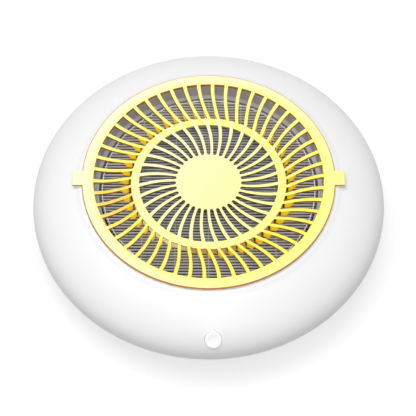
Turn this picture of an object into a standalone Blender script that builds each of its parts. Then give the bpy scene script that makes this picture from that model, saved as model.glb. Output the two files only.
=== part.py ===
"""Nail dust collector: a round desk extractor with a swirl grille, a pleated filter and a centrifugal fan.

Metres, +Z up, origin on the table under the middle of the body.
The front, with the push button, faces -Y, and the exhaust vents face +Y.
Build: blender --background --python part.py
"""
import math

import bmesh
import bpy
from mathutils import Matrix, Vector

# Clearances that every piece shares: a gap between neighbours, a cutter's overrun, how deep a
# joined piece is rooted, how far its faces stay off its neighbour's, and the welding distance
GAP = 0.0003
OVERRUN = 0.002
ROOT = 0.0008
TRIM = 0.0001
WELD = 0.00001

# Body of revolution: two superellipse quarters that meet at the widest line
BODY_RADIUS = 0.145
CROWN_POWER = 2.17
BELLY_DROP = 0.0365
BELLY_CLEARANCE = 0.0035
FLOOR_SHARE = 0.2069
SHELL_WALL = 0.0024
PARTING_DROP = 0.006
LIP_WALL = 0.0012
LIP_RISE = 0.0025

# Flat land round the well, which the grille's rim lies on
LAND_MARGIN = 0.0008
LAND_ROUND = 0.0017
LAND_EDGE_DROP = 0.001066
WELL_DEPTH = 0.0272
LEDGE_WIDTH = 0.0105
LEDGE_THICKNESS = 0.0044

# Swirl grille
GRILLE_SHARE = 0.710345
RIM_WIDTH = 0.0096
RIM_THICKNESS = 0.003
SPIGOT_WALL = 0.0013
SPIGOT_DEPTH = 0.0024
TAB_REACH = 0.0074
TAB_WIDTH = 0.0136
RING_SHARE = 0.61068
RING_WIDTH = 0.0064
RING_DROP = 0.0063
SKIRT_WALL = 0.0015
DISC_SHARE = 0.257282
DISC_DROP = 0.0055
BLADE_DEPTH = 0.0022
OUTER_BLADES = 50
OUTER_BLADE_WIDTH = 0.0025
OUTER_BLADE_START = math.radians(8.75)
OUTER_BLADE_SWEEP = math.radians(5.45)
OUTER_BLADE_POWER = 2.2
INNER_BLADES = 35
INNER_BLADE_WIDTH = 0.0023
INNER_BLADE_FLARE = 0.0010
INNER_BLADE_START = math.radians(2.48)
INNER_BLADE_SWEEP = math.radians(8.34)
INNER_BLADE_POWER = 1.5
GUSSET_REACH = 0.0085
GUSSET_TOE_SHARE = 0.45
SKIRT_BITE_SHARE = 0.6
RIM_BITE_SHARE = 0.2
BLADE_STEPS = 3
SLOT_ARC_STEPS = 3

# Pleated filter cartridge
FRAME_LAP = 0.0012
FRAME_WALL = 0.0014
FRAME_POTTING = 0.005
FRAME_LIP = 0.0012
FRAME_LIP_REACH = 0.0021
PLEAT_PITCH = 0.00265
PLEAT_HEIGHT = 0.0112
PLEAT_SHEET_DROP = 0.0046
SEAL_THICKNESS = 0.002
SEAL_WIDTH = 0.0055

# Air inlet plate under the filter, with a moulded finger guard
PLATE_THICKNESS = 0.0024
THROAT_SHARE = 0.383495
THROAT_DROP = 0.0034
FUNNEL_SHARE = 0.68932
THROAT_FLARE = 0.005
THROAT_EDGE = 0.0017
GUARD_THICKNESS = 0.0016
GUARD_HUB_RADIUS = 0.009
GUARD_RING_WIDTH = 0.0018
GUARD_SPOKES = 6

# Impeller
IMPELLER_SHARE = 0.621359
IMPELLER_EYE_SHARE = 0.407767
IMPELLER_HEIGHT = 0.0188
IMPELLER_WALL = 0.0014
IMPELLER_RUNNING_GAP = 0.0006
IMPELLER_TAPER = 0.0028
IMPELLER_BLADES = 9
IMPELLER_BLADE_WIDTH = 0.0012
IMPELLER_BLADE_ROOT_SHARE = 0.320388
IMPELLER_BLADE_SWEEP = math.radians(52)
DOME_RUNNING_GAP = 0.0025
DOME_WALL = 0.0016
DOME_ROUND = 0.0026
HUB_RADIUS = 0.006
HUB_RISE = 0.0022
HUB_SINK = 0.0012

# Motor
MOTOR_POST_HEIGHT = 0.0021
MOTOR_FLANGE = 0.007
MOTOR_BASE_THICKNESS = 0.002
MOTOR_RADIUS = 0.0175
MOTOR_LENGTH = 0.017
MOTOR_WALL = 0.0012
ROTOR_MARGIN = 0.0023
ROTOR_LENGTH = 0.0105
SHAFT_RADIUS = 0.0025
BEARING_RADIUS = 0.0056
BEARING_LENGTH = 0.0025
COLLAR_WALL = 0.0012

# Scroll round the impeller
SCROLL_RUNNING_GAP = 0.001
SCROLL_FLOOR_THICKNESS = 0.0016
SCROLL_WALL = 0.002
SCROLL_CUTOFF_GAP = 0.005
SCROLL_GROWTH_SHARE = 0.159223
SCROLL_START = math.radians(125)
SCROLL_TURN = math.radians(285)
SCROLL_OUTLET = 0.013
SCROLL_OUTLET_TURN = math.radians(100)
SCROLL_STEPS = 20

# Screws, pillars and posts
SCREW_RADIUS = 0.0015
SCREW_HEAD_RADIUS = 0.0029
SCREW_HEAD_HEIGHT = 0.0020
PILLAR_RADIUS = 0.0042
PILLAR_ORBIT_SHARE = 0.8
PILLAR_FOOT_DROP = 0.0095
PILLAR_SEAT = 0.0048
PILLAR_BITE = 0.009
PLATE_SCREW_BITE = 0.003
MOTOR_SCREW_EDGE = 0.0038
MOTOR_SCREW_RADIUS = 0.0010
MOTOR_SCREW_HEAD_RADIUS = 0.0019
MOTOR_SCREW_HEAD_HEIGHT = 0.0012
MOTOR_POST_RADIUS = 0.0028
MOTOR_SCREW_BITE = 0.003
SCROLL_POST_RADIUS = 0.0035
SCROLL_POST_ORBIT_SHARE = 0.582524

# Rubber feet
FOOT_ORBIT_SHARE = 0.606897
FOOT_RADIUS = 0.0075
FOOT_HEIGHT = 0.0027
FOOT_ROUND = 0.0008
FOOT_STEM_RADIUS = 0.003
FOOT_STEM_HEIGHT = 0.0032

# Exhaust vents, in two banks beside the power socket
BANK_VENTS = 7
VENT_FIRST = math.radians(9)
VENT_PITCH = math.radians(3.8)
VENT_WIDTH = 0.003
VENT_DROP = 0.003
VENT_HEIGHT = 0.0145

# Push button on the front shoulder
BUTTON_ORBIT_SHARE = 0.948276
BUTTON_SWING = math.radians(1.5)
BUTTON_RADIUS = 0.0067
BUTTON_NUB = 0.0018
BUTTON_NUB_SPREAD = math.radians(20)
BUTTON_PROUD = 0.0008
BUTTON_DISH_RADIUS = 0.0046
BUTTON_DISH_DEPTH = 0.0007
BUTTON_DISH_STEPS = 4
BUTTON_FLANGE_RADIUS = 0.0083
BUTTON_FLANGE_THICKNESS = 0.0012
BUTTON_SKIRT = 0.0048
BUTTON_STEM_RADIUS = 0.002
BUTTON_STEM_LENGTH = 0.0036
BUTTON_TRAVEL = 0.001

# Control board behind the button
SWITCH_SIZE = 0.0062
SWITCH_HEIGHT = 0.0038
PLUNGER_RADIUS = 0.0016
PLUNGER_LENGTH = 0.0024
PLUNGER_RISE = 0.0014
BOARD_LENGTH = 0.030
BOARD_WIDTH = 0.018
BOARD_THICKNESS = 0.0016
BOARD_POST_RADIUS = 0.0024
BOARD_POST_MARGIN = 0.00325
BOARD_SCREW_RADIUS = 0.0010
BOARD_SCREW_HEAD_RADIUS = 0.0019
BOARD_SCREW_HEAD_HEIGHT = 0.0013
BOARD_SCREW_BITE = 0.004
CONNECTOR_LENGTH = 0.010
CONNECTOR_WIDTH = 0.005
CONNECTOR_HEIGHT = 0.006

# Power socket in a pocket at the back
SOCKET_AZIMUTH = math.radians(90)
SOCKET_FACE_ORBIT_SHARE = 0.855172
SOCKET_DROP = 0.0068
SOCKET_RADIUS = 0.0046
SOCKET_LENGTH = 0.012
SOCKET_BORE_RADIUS = 0.0031
SOCKET_BORE_DEPTH = 0.009
SOCKET_PIN_RADIUS = 0.001
SOCKET_PIN_LENGTH = 0.008
POCKET_WIDTH = 0.0140
POCKET_HEIGHT = 0.0104
POCKET_WALL = 0.002

# Leads inside the body
SOCKET_LEAD_RADIUS = 0.0012
MOTOR_LEAD_RADIUS = 0.0009
LEAD_ORBIT_SHARE = 0.724138
LEAD_DROP = 0.001
LEAD_ENTRY = 0.006
SOCKET_LEAD_AZIMUTHS = [math.radians(angle) for angle in (72, 45, 15, -15, -45, -70)]
MOTOR_LEAD_AZIMUTHS = [math.radians(angle) for angle in (190, 210, 230, 248)]

# Facets round the circumference
LARGE_STEPS = 40
MIDDLE_STEPS = 20
SMALL_STEPS = 10
SCREW_STEPS = 6
BUTTON_STEPS = 16
CROWN_STEPS = 6
BELLY_STEPS = 5
INSIDE_STEPS = 4

# Plan of the body, from the middle outwards
floor_radius = BODY_RADIUS * FLOOR_SHARE
grille_radius = BODY_RADIUS * GRILLE_SHARE
rim_inner = grille_radius - RIM_WIDTH
frame_radius = rim_inner + FRAME_LAP
spigot_inner = frame_radius + GAP
spigot_radius = spigot_inner + SPIGOT_WALL
well_radius = spigot_radius + GAP
well_outside = well_radius + SHELL_WALL
land_radius = grille_radius + LAND_MARGIN
ledge_radius = well_radius - LEDGE_WIDTH
media_radius = frame_radius - FRAME_POTTING - GAP
ring_radius = grille_radius * RING_SHARE
disc_radius = grille_radius * DISC_SHARE
throat_radius = grille_radius * THROAT_SHARE
funnel_radius = grille_radius * FUNNEL_SHARE
impeller_radius = grille_radius * IMPELLER_SHARE
impeller_eye = grille_radius * IMPELLER_EYE_SHARE
impeller_blade_root = grille_radius * IMPELLER_BLADE_ROOT_SHARE
motor_base_radius = MOTOR_RADIUS + MOTOR_FLANGE
rotor_radius = MOTOR_RADIUS - MOTOR_WALL - ROTOR_MARGIN
dome_radius = MOTOR_RADIUS + DOME_RUNNING_GAP + DOME_WALL
motor_screw_orbit = motor_base_radius - MOTOR_SCREW_EDGE
scroll_cutoff = impeller_radius + SCROLL_CUTOFF_GAP
scroll_growth = grille_radius * SCROLL_GROWTH_SHARE
scroll_post_orbit = grille_radius * SCROLL_POST_ORBIT_SHARE
pillar_orbit = BODY_RADIUS * PILLAR_ORBIT_SHARE
foot_orbit = BODY_RADIUS * FOOT_ORBIT_SHARE
button_orbit = BODY_RADIUS * BUTTON_ORBIT_SHARE
socket_face_orbit = BODY_RADIUS * SOCKET_FACE_ORBIT_SHARE
lead_orbit = BODY_RADIUS * LEAD_ORBIT_SHARE
board_post_span = BOARD_LENGTH - 2 * BOARD_POST_MARGIN

# Heights of the inner stack, from the floor of the body up to the land
foot_post_bottom = FOOT_HEIGHT + GAP
floor_top = BELLY_CLEARANCE + SHELL_WALL
motor_seat_height = floor_top + MOTOR_POST_HEIGHT
motor_base_bottom = motor_seat_height + GAP
motor_base_top = motor_base_bottom + MOTOR_BASE_THICKNESS
motor_bottom = motor_base_top + GAP
motor_top = motor_bottom + MOTOR_LENGTH
dome_inner_top = motor_top + COLLAR_WALL + IMPELLER_RUNNING_GAP
dome_top = dome_inner_top + DOME_WALL
hub_top = dome_top + HUB_RISE
impeller_top = hub_top + HUB_SINK
impeller_floor = impeller_top - IMPELLER_HEIGHT
impeller_deck = impeller_floor + IMPELLER_WALL
scroll_floor_top = impeller_floor - SCROLL_RUNNING_GAP
scroll_floor_height = scroll_floor_top - SCROLL_FLOOR_THICKNESS
throat_bottom = impeller_top + IMPELLER_RUNNING_GAP
plate_bottom = throat_bottom + THROAT_DROP
plate_top = plate_bottom + PLATE_THICKNESS
scroll_top = plate_bottom - GAP
ledge_bottom = plate_top + GAP
ledge_top = ledge_bottom + LEDGE_THICKNESS
land_height = ledge_top + WELL_DEPTH

# Heights of the cartridge and the grille
seal_bottom = ledge_top + GAP
frame_bottom = seal_bottom + SEAL_THICKNESS + GAP
frame_top = land_height - GAP
media_bottom = frame_bottom + FRAME_LIP + GAP
media_top = media_bottom + PLEAT_HEIGHT
skirt_bottom = media_top + GAP
rim_bottom = land_height + GAP
rim_top = rim_bottom + RIM_THICKNESS
ring_top = rim_top - RING_DROP
disc_top = rim_top - DISC_DROP

# Heights of the shells; the crown is as high as the land needs it
widest_height = BELLY_CLEARANCE + BELLY_DROP
parting_height = widest_height - PARTING_DROP
land_edge_share = (1 - ((land_radius + LAND_ROUND) / BODY_RADIUS) ** CROWN_POWER) ** (1 / CROWN_POWER)
crown_rise = (land_height - LAND_EDGE_DROP - widest_height) / land_edge_share
pillar_foot_height = parting_height - PILLAR_FOOT_DROP
pillar_seat_bottom = pillar_foot_height - GAP - PILLAR_SEAT
vent_top = parting_height - VENT_DROP
vent_bottom = vent_top - VENT_HEIGHT
socket_height = parting_height - SOCKET_DROP
lead_height = parting_height - LEAD_DROP


def polar(radius, azimuth, height=0.0):
    """Return the point at a distance from the axis, an azimuth from +X and a height."""
    return Vector((radius * math.cos(azimuth), radius * math.sin(azimuth), height))


def crown_height(radius):
    """Height of the crown's outer surface at a distance from the axis."""
    share = (radius / BODY_RADIUS) ** CROWN_POWER
    return widest_height + crown_rise * (1 - share) ** (1 / CROWN_POWER)


def crown_elevation(radius):
    """Elevation of the crown's outward normal at a distance from the axis."""
    across = (radius / BODY_RADIUS) ** (CROWN_POWER - 1) / BODY_RADIUS
    upward = ((crown_height(radius) - widest_height) / crown_rise) ** (CROWN_POWER - 1) / crown_rise
    return math.atan2(upward, across)


def crown_arc(inset, first, last, steps):
    """Points of the crown from one quarter angle to another, inset from the skin."""
    points = []
    for step in range(steps + 1):
        angle = first + (last - first) * step / steps
        radius = (BODY_RADIUS - inset) * max(math.cos(angle), 0.0) ** (2 / CROWN_POWER)
        height = widest_height + (crown_rise - inset) * max(math.sin(angle), 0.0) ** (2 / CROWN_POWER)
        points.append((radius, height))
    return points


def belly_radius(height, inset=0.0):
    """Distance of the belly's surface from the axis at a height below the widest line."""
    sink = (widest_height - height) / (BELLY_DROP - inset)
    return floor_radius + (BODY_RADIUS - inset - floor_radius) * math.sqrt(1 - sink * sink)


def belly_arc(inset, rim_height, steps):
    """Points of the belly from the rim down to the flat of the floor, inset from the skin."""
    first = math.asin((widest_height - rim_height) / (BELLY_DROP - inset))
    points = []
    for step in range(steps + 1):
        angle = first + (math.pi / 2 - first) * step / steps
        radius = floor_radius + (BODY_RADIUS - inset - floor_radius) * math.cos(angle)
        points.append((radius, widest_height - (BELLY_DROP - inset) * math.sin(angle)))
    return points


def collection(name):
    """Make a collection under the scene."""
    made = bpy.data.collections.new(name)
    bpy.context.scene.collection.children.link(made)
    return made


def material(name, colour, roughness, metallic=0.0):
    """Make a plain Principled material."""
    made = bpy.data.materials.new(name)
    made.use_nodes = True
    shader = made.node_tree.nodes["Principled BSDF"]
    shader.inputs["Base Color"].default_value = (*colour, 1.0)
    shader.inputs["Roughness"].default_value = roughness
    shader.inputs["Metallic"].default_value = metallic
    made.diffuse_color = (*colour, 1.0)
    return made


def evaluated_mesh(thing):
    """Return the object's mesh as the viewport shows it, in the object's own space."""
    bpy.context.view_layer.update()
    graph = bpy.context.evaluated_depsgraph_get()
    return bpy.data.meshes.new_from_object(thing.evaluated_get(graph))


def shade(mesh):
    """Smooth the round faces and keep real edges sharp."""
    mesh.shade_smooth()
    mesh.set_sharp_from_angle(angle=math.radians(32))


def solid(name, mesh, look=None):
    """Link a mesh as a part of the collector, or as a cutter where it has no material."""
    thing = bpy.data.objects.new(name, mesh)
    if look is None:
        cutters.objects.link(thing)
        thing.hide_render = True
        thing.display_type = "WIRE"
    else:
        parts.objects.link(thing)
        mesh.materials.clear()
        mesh.materials.append(look)
    return thing


def turned(name, profile, steps, look=None, closed=True):
    """Turn a profile of (radius, height) points about Z; it runs down its outer side."""
    mesh = bpy.data.meshes.new(name)
    count = len(profile)
    edges = [(index, index + 1) for index in range(count - 1)]
    if closed:
        edges.append((count - 1, 0))
    mesh.from_pydata([(radius, 0.0, height) for radius, height in profile], edges, [])
    thing = solid(name, mesh, look)
    screw = thing.modifiers.new("turn", "SCREW")
    screw.axis = "Z"
    screw.angle = math.tau
    screw.steps = steps
    screw.render_steps = steps
    screw.use_merge_vertices = True
    screw.merge_threshold = WELD
    return settle(thing)


def settle(thing):
    """Replace an object's modifiers with their result."""
    made = evaluated_mesh(thing)
    looks = list(thing.data.materials)
    thing.modifiers.clear()
    thing.data = made
    made.materials.clear()
    for look in looks:
        made.materials.append(look)
    shade(made)
    return thing


def prism(name, outlines, bottom, top, look=None):
    """Extrude flat outlines of (x, y) points between two heights; later outlines are holes."""
    curve = bpy.data.curves.new(name, "CURVE")
    curve.dimensions = "2D"
    curve.fill_mode = "BOTH"
    curve.extrude = (top - bottom) / 2
    for outline in outlines:
        spline = curve.splines.new("POLY")
        spline.points.add(len(outline) - 1)
        spline.use_cyclic_u = True
        for point, (x, y) in zip(spline.points, outline):
            point.co = (x, y, 0.0, 1.0)
    return from_curve(name, curve, Matrix.Translation((0.0, 0.0, (top + bottom) / 2)), look)


def from_curve(name, curve, place, look=None):
    """Turn a curve into a welded mesh object."""
    source = bpy.data.objects.new(name + "_curve", curve)
    cutters.objects.link(source)
    mesh = evaluated_mesh(source)
    bpy.data.objects.remove(source)
    shape = bmesh.new()
    shape.from_mesh(mesh)
    bmesh.ops.remove_doubles(shape, verts=shape.verts, dist=WELD)
    bmesh.ops.recalc_face_normals(shape, faces=shape.faces)
    shape.transform(place)
    shape.to_mesh(mesh)
    shape.free()
    shade(mesh)
    return solid(name, mesh, look)


def box(name, low, high, look=None):
    """A box between two corners."""
    shape = bmesh.new()
    size = Vector(high) - Vector(low)
    middle = (Vector(high) + Vector(low)) / 2
    bmesh.ops.create_cube(shape, size=1.0, matrix=Matrix.Translation(middle) @ Matrix.Diagonal((*size, 1.0)))
    mesh = bpy.data.meshes.new(name)
    shape.to_mesh(mesh)
    shape.free()
    return solid(name, mesh, look)


def rod(name, radius, bottom, top, steps, look=None):
    """A plain cylinder along Z, with its first facet edge at +X like a turned piece."""
    shape = bmesh.new()
    middle = Matrix.Translation((0.0, 0.0, (top + bottom) / 2)) @ Matrix.Rotation(-math.pi / 2, 4, "Z")
    bmesh.ops.create_cone(shape, cap_ends=True, segments=steps, radius1=radius, radius2=radius,
                          depth=top - bottom, matrix=middle)
    mesh = bpy.data.meshes.new(name)
    shape.to_mesh(mesh)
    shape.free()
    shade(mesh)
    return solid(name, mesh, look)


def place(thing, matrix):
    """Move an object's mesh, so that its origin stays where it is."""
    thing.data.transform(matrix)
    return thing


def combine(target, tools, operation):
    """Join or cut with each tool in turn by exact Booleans, and keep the result."""
    for tool in tools:
        step = target.modifiers.new(tool.name, "BOOLEAN")
        step.operation = operation
        step.solver = "EXACT"
        step.object = tool
    settle(target)
    for tool in tools:
        bpy.data.objects.remove(tool)
    return target


def union(target, *tools):
    """Join pieces to a solid."""
    return combine(target, tools, "UNION")


def cut(target, *tools):
    """Cut pieces out of a solid."""
    return combine(target, tools, "DIFFERENCE")


def loft_bars(name, bars):
    """Loft bars of four-sided sections; a section is (centre, half width, top, bottom)."""
    shape = bmesh.new()
    for bar in bars:
        rings = []
        for index, (centre, half, top, bottom) in enumerate(bar):
            before = bar[max(index - 1, 0)][0]
            after = bar[min(index + 1, len(bar) - 1)][0]
            along = (after - before).normalized()
            side = Vector((-along.y, along.x)) * half
            corners = [centre - side, centre + side]
            rings.append([
                shape.verts.new((*corners[0], bottom)), shape.verts.new((*corners[1], bottom)),
                shape.verts.new((*corners[1], top)), shape.verts.new((*corners[0], top))])
        for first, second in zip(rings, rings[1:]):
            for corner in range(4):
                following = (corner + 1) % 4
                shape.faces.new((first[corner], first[following], second[following], second[corner]))
        shape.faces.new(reversed(rings[0]))
        shape.faces.new(rings[-1])
    bmesh.ops.recalc_face_normals(shape, faces=shape.faces)
    mesh = bpy.data.meshes.new(name)
    shape.to_mesh(mesh)
    shape.free()
    return solid(name, mesh)


def make_screw(name, tip, head_up, radius, head_radius, head_height, length, spot, look):
    """A pan-head screw moved to its spot; head_up says whether its head is above its tip."""
    profile = [(0.0, 0.0), (radius, 0.0), (radius, -length), (head_radius, -length),
               (head_radius, -length - head_height), (0.0, -length - head_height)]
    screw = turned(name, profile, SCREW_STEPS, look, closed=False)
    if head_up:
        place(screw, Matrix.Rotation(math.pi, 4, "X"))
    place(screw, Matrix.Translation((0.0, 0.0, tip)))
    return place(screw, spot)


def make_top_shell():
    """Crown and land in one moulding, with screw pillars and the posts of the control board."""
    first = math.acos(((land_radius + LAND_ROUND) / BODY_RADIUS) ** (CROWN_POWER / 2))
    under_land = (land_height - SHELL_WALL - widest_height) / (crown_rise - SHELL_WALL)
    last = math.asin(under_land ** (CROWN_POWER / 2))
    profile = [(well_radius, land_height), (land_radius, land_height)]
    profile += crown_arc(0.0, first, 0.0, CROWN_STEPS)
    profile += [(belly_radius(parting_height), parting_height)]
    profile += [(belly_radius(parting_height, SHELL_WALL), parting_height)]
    profile += crown_arc(SHELL_WALL, 0.0, last, INSIDE_STEPS)
    profile += [(well_radius, land_height - SHELL_WALL)]
    shell = turned("top_shell", profile, LARGE_STEPS, white_gloss)
    pillars = []
    pilots = []
    for azimuth in pillar_azimuths:
        orbit = Matrix.Translation(polar(pillar_orbit, azimuth))
        crown_inside = crown_height(pillar_orbit + PILLAR_RADIUS) - SHELL_WALL + ROOT
        pillar = rod("pillar", PILLAR_RADIUS, pillar_foot_height, crown_inside, SMALL_STEPS)
        pillars.append(place(pillar, orbit))
        pilots.append(place(rod("pilot", SCREW_RADIUS + GAP, pillar_foot_height - OVERRUN,
                                pillar_foot_height + PILLAR_BITE, SCREW_STEPS), orbit))
    for side in (-1, 1):
        shift = Matrix.Translation((side * board_post_span / 2, 0.0, 0.0))
        pillars.append(place(rod("post", BOARD_POST_RADIUS, board_top + GAP, -SHELL_WALL / 2, SMALL_STEPS),
                             button_frame @ shift))
        pilots.append(place(rod("pilot", BOARD_SCREW_RADIUS + GAP, board_top - OVERRUN,
                                board_top + BOARD_SCREW_BITE + GAP, SCREW_STEPS), button_frame @ shift))
    union(shell, *pillars)
    outline = button_outline(GAP)
    hole = place(prism("button_hole", [outline], -SHELL_WALL - OVERRUN, OVERRUN), button_frame)
    cut(shell, hole, *pilots)
    return shell


def make_filter_well():
    """Well of the cartridge, held between the land above and the inlet plate screwed to its ledge."""
    well_top = land_height - SHELL_WALL - GAP
    well = turned("filter_well", [
        (well_outside, well_top), (well_outside, ledge_bottom), (ledge_radius, ledge_bottom),
        (ledge_radius, ledge_top), (well_radius, ledge_top), (well_radius, well_top)],
        LARGE_STEPS, white_gloss)
    pilots = []
    for azimuth in plate_screw_azimuths:
        pilot = rod("pilot", SCREW_RADIUS + GAP, ledge_bottom - OVERRUN,
                    ledge_bottom + PLATE_SCREW_BITE, SCREW_STEPS)
        pilots.append(place(pilot, Matrix.Translation(polar(plate_screw_orbit, azimuth))))
    return cut(well, *pilots)


def make_bottom_shell():
    """Bowl-shaped belly with vents, socket pocket, foot posts, screw seats, motor and scroll posts."""
    rim = parting_height - GAP
    lip_outside = belly_radius(parting_height, SHELL_WALL) - GAP
    inner = belly_arc(SHELL_WALL, rim, INSIDE_STEPS)
    inner.reverse()
    lip_inside = lip_outside - LIP_WALL
    profile = [(0.0, floor_top)] + inner[:-1]
    profile += [(lip_inside, rim), (lip_inside, rim + LIP_RISE), (lip_outside, rim + LIP_RISE)]
    profile += [(lip_outside, rim)] + belly_arc(0.0, rim, BELLY_STEPS)
    profile += [(0.0, BELLY_CLEARANCE)]
    shell = turned("bottom_shell", profile, LARGE_STEPS, white_gloss, closed=False)
    added = []
    removed = []
    for azimuth in pillar_azimuths:
        orbit = Matrix.Translation(polar(pillar_orbit, azimuth))
        skin = belly_surface(pillar_orbit + PILLAR_RADIUS)
        seat_radius = SCREW_HEAD_RADIUS + SHELL_WALL / 2
        seat = rod("seat", seat_radius, skin + ROOT, pillar_foot_height - GAP, SMALL_STEPS)
        added.append(place(seat, orbit))
        removed.append(place(rod("shank", SCREW_RADIUS + GAP, pillar_seat_bottom - OVERRUN,
                                 pillar_foot_height + OVERRUN, SCREW_STEPS), orbit))
        removed.append(place(rod("counterbore", SCREW_HEAD_RADIUS + GAP, 0.0, pillar_seat_bottom,
                                 SMALL_STEPS), orbit))
    for azimuth in foot_azimuths:
        orbit = Matrix.Translation(polar(foot_orbit, azimuth))
        skin = belly_surface(foot_orbit + FOOT_RADIUS)
        added.append(place(rod("foot_post", FOOT_RADIUS, foot_post_bottom, skin + ROOT, SMALL_STEPS), orbit))
        removed.append(place(rod("stem_hole", FOOT_STEM_RADIUS + GAP, foot_post_bottom - OVERRUN,
                                 foot_post_bottom + FOOT_STEM_HEIGHT, SMALL_STEPS), orbit))
    for azimuth in scroll_post_azimuths:
        orbit = Matrix.Translation(polar(scroll_post_orbit, azimuth))
        skin = belly_surface(scroll_post_orbit) + SHELL_WALL / 2
        added.append(place(rod("scroll_post", SCROLL_POST_RADIUS, skin, scroll_floor_height - GAP,
                               SMALL_STEPS), orbit))
    for azimuth in motor_screw_azimuths:
        orbit = Matrix.Translation(polar(motor_screw_orbit, azimuth))
        added.append(place(rod("motor_post", MOTOR_POST_RADIUS, floor_top - SHELL_WALL / 2,
                               motor_seat_height, SMALL_STEPS), orbit))
        removed.append(place(rod("motor_pilot", MOTOR_SCREW_RADIUS + GAP,
                                 motor_seat_height - MOTOR_SCREW_BITE, motor_seat_height + OVERRUN,
                                 SCREW_STEPS), orbit))
    turn = Matrix.Rotation(SOCKET_AZIMUTH, 4, "Z")
    pocket_half = POCKET_WIDTH / 2
    pocket_low = socket_height - POCKET_HEIGHT / 2
    pocket_high = socket_height + POCKET_HEIGHT / 2
    pocket = place(box(
        "pocket", (socket_face_orbit - POCKET_WALL, -pocket_half - POCKET_WALL, pocket_low - POCKET_WALL),
        (BODY_RADIUS, pocket_half + POCKET_WALL, pocket_high + POCKET_WALL)), turn)
    bowl = [(0.0, rim - GAP)] + belly_arc(TRIM, rim - GAP, BELLY_STEPS) + [(0.0, BELLY_CLEARANCE)]
    added.append(combine(pocket, [turned("bowl", bowl, LARGE_STEPS, closed=False)], "INTERSECT"))
    removed.append(place(box(
        "pocket_hollow", (socket_face_orbit, -pocket_half, pocket_low),
        (BODY_RADIUS, pocket_half, pocket_high)), turn))
    barrel = rod("socket_hole", SOCKET_RADIUS + GAP, -POCKET_WALL - OVERRUN, OVERRUN, SMALL_STEPS)
    removed.append(place(barrel, turn @ socket_frame))
    union(shell, *added)
    removed.append(make_vent_cutter())
    cut(shell, *removed)
    return shell


def make_vent_cutter():
    """Upright slots through the back of the belly, in two banks round the axis."""
    shape = bmesh.new()
    inner = belly_radius(vent_bottom, SHELL_WALL) - OVERRUN
    outer = BODY_RADIUS + OVERRUN
    size = Vector((outer - inner, VENT_WIDTH, vent_top - vent_bottom))
    middle = Vector(((outer + inner) / 2, 0.0, (vent_top + vent_bottom) / 2))
    for index in range(BANK_VENTS):
        for side in (-1, 1):
            azimuth = math.pi / 2 + side * (VENT_FIRST + VENT_PITCH * index)
            slot = Matrix.Translation(middle) @ Matrix.Diagonal((*size, 1.0))
            bmesh.ops.create_cube(shape, size=1.0, matrix=Matrix.Rotation(azimuth, 4, "Z") @ slot)
    mesh = bpy.data.meshes.new("vents")
    shape.to_mesh(mesh)
    shape.free()
    return solid("vents", mesh)


def belly_surface(radius):
    """Height of the belly's outer surface at a distance from the axis."""
    reach = max(radius - floor_radius, 0.0) / (BODY_RADIUS - floor_radius)
    return widest_height - BELLY_DROP * math.sqrt(1 - reach * reach)


def make_grille():
    """Dished swirl grille: rim with two tabs, stepped middle ring with a skirt, and a scalloped disc."""
    rim = turned("grille", [
        (grille_radius, rim_top), (grille_radius, rim_bottom), (spigot_radius, rim_bottom),
        (spigot_radius, rim_bottom - SPIGOT_DEPTH), (spigot_inner, rim_bottom - SPIGOT_DEPTH),
        (spigot_inner, rim_bottom), (rim_inner, rim_bottom), (rim_inner, rim_top)], LARGE_STEPS, pale_gold)
    tab_root = grille_radius - RIM_WIDTH / 2
    tab_tip = grille_radius + TAB_REACH
    tab_half = TAB_WIDTH / 2
    tab_bottom = rim_bottom + TRIM
    tab_top = rim_top - TRIM
    tabs = [box("tab", (tab_root, -tab_half, tab_bottom), (tab_tip, tab_half, tab_top)),
            box("tab", (-tab_tip, -tab_half, tab_bottom), (-tab_root, tab_half, tab_top))]
    ring_inner = ring_radius - RING_WIDTH
    skirt_inner = ring_radius - SKIRT_WALL
    ring_bottom = ring_top - BLADE_DEPTH
    ring = turned("ring", [
        (ring_radius, ring_top), (ring_radius, skirt_bottom), (skirt_inner, skirt_bottom),
        (skirt_inner, ring_bottom), (ring_inner, ring_bottom), (ring_inner, ring_top)], LARGE_STEPS)
    disc = prism("disc", [scalloped_disc()], disc_top - BLADE_DEPTH, disc_top)
    union(rim, *tabs)
    union(ring, inner_blades())
    union(ring, disc)
    union(ring, outer_blades())
    return union(rim, ring)


def inner_blade_angle(radius):
    """Azimuth of an inner blade, which leaves the disc almost radially and swings on outwards."""
    share = (radius - disc_radius) / (ring_radius - disc_radius)
    return INNER_BLADE_START + INNER_BLADE_SWEEP * max(share, 0.0) ** INNER_BLADE_POWER


def outer_blade_angle(radius):
    """Azimuth of an outer blade, which leaves the middle ring at a slant and meets the rim radially."""
    share = min(max((rim_inner - radius) / (rim_inner - ring_radius), 0.0), 1.0)
    return OUTER_BLADE_START - OUTER_BLADE_SWEEP * share ** OUTER_BLADE_POWER


def scalloped_disc():
    """Outline of the centre disc, with a round notch where each slot ends."""
    pitch = math.tau / INNER_BLADES
    notch = (pitch * disc_radius - INNER_BLADE_WIDTH) / 2
    centre_radius = disc_radius + notch
    points = []
    for index in range(INNER_BLADES):
        azimuth = INNER_BLADE_START + pitch * (index + 0.5)
        for step in range(SLOT_ARC_STEPS + 1):
            turn = math.pi / 2 + math.pi * (1 - step / SLOT_ARC_STEPS) + azimuth
            point = polar(centre_radius, azimuth) + polar(notch, turn)
            points.append((point.x, point.y))
    return points


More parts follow.
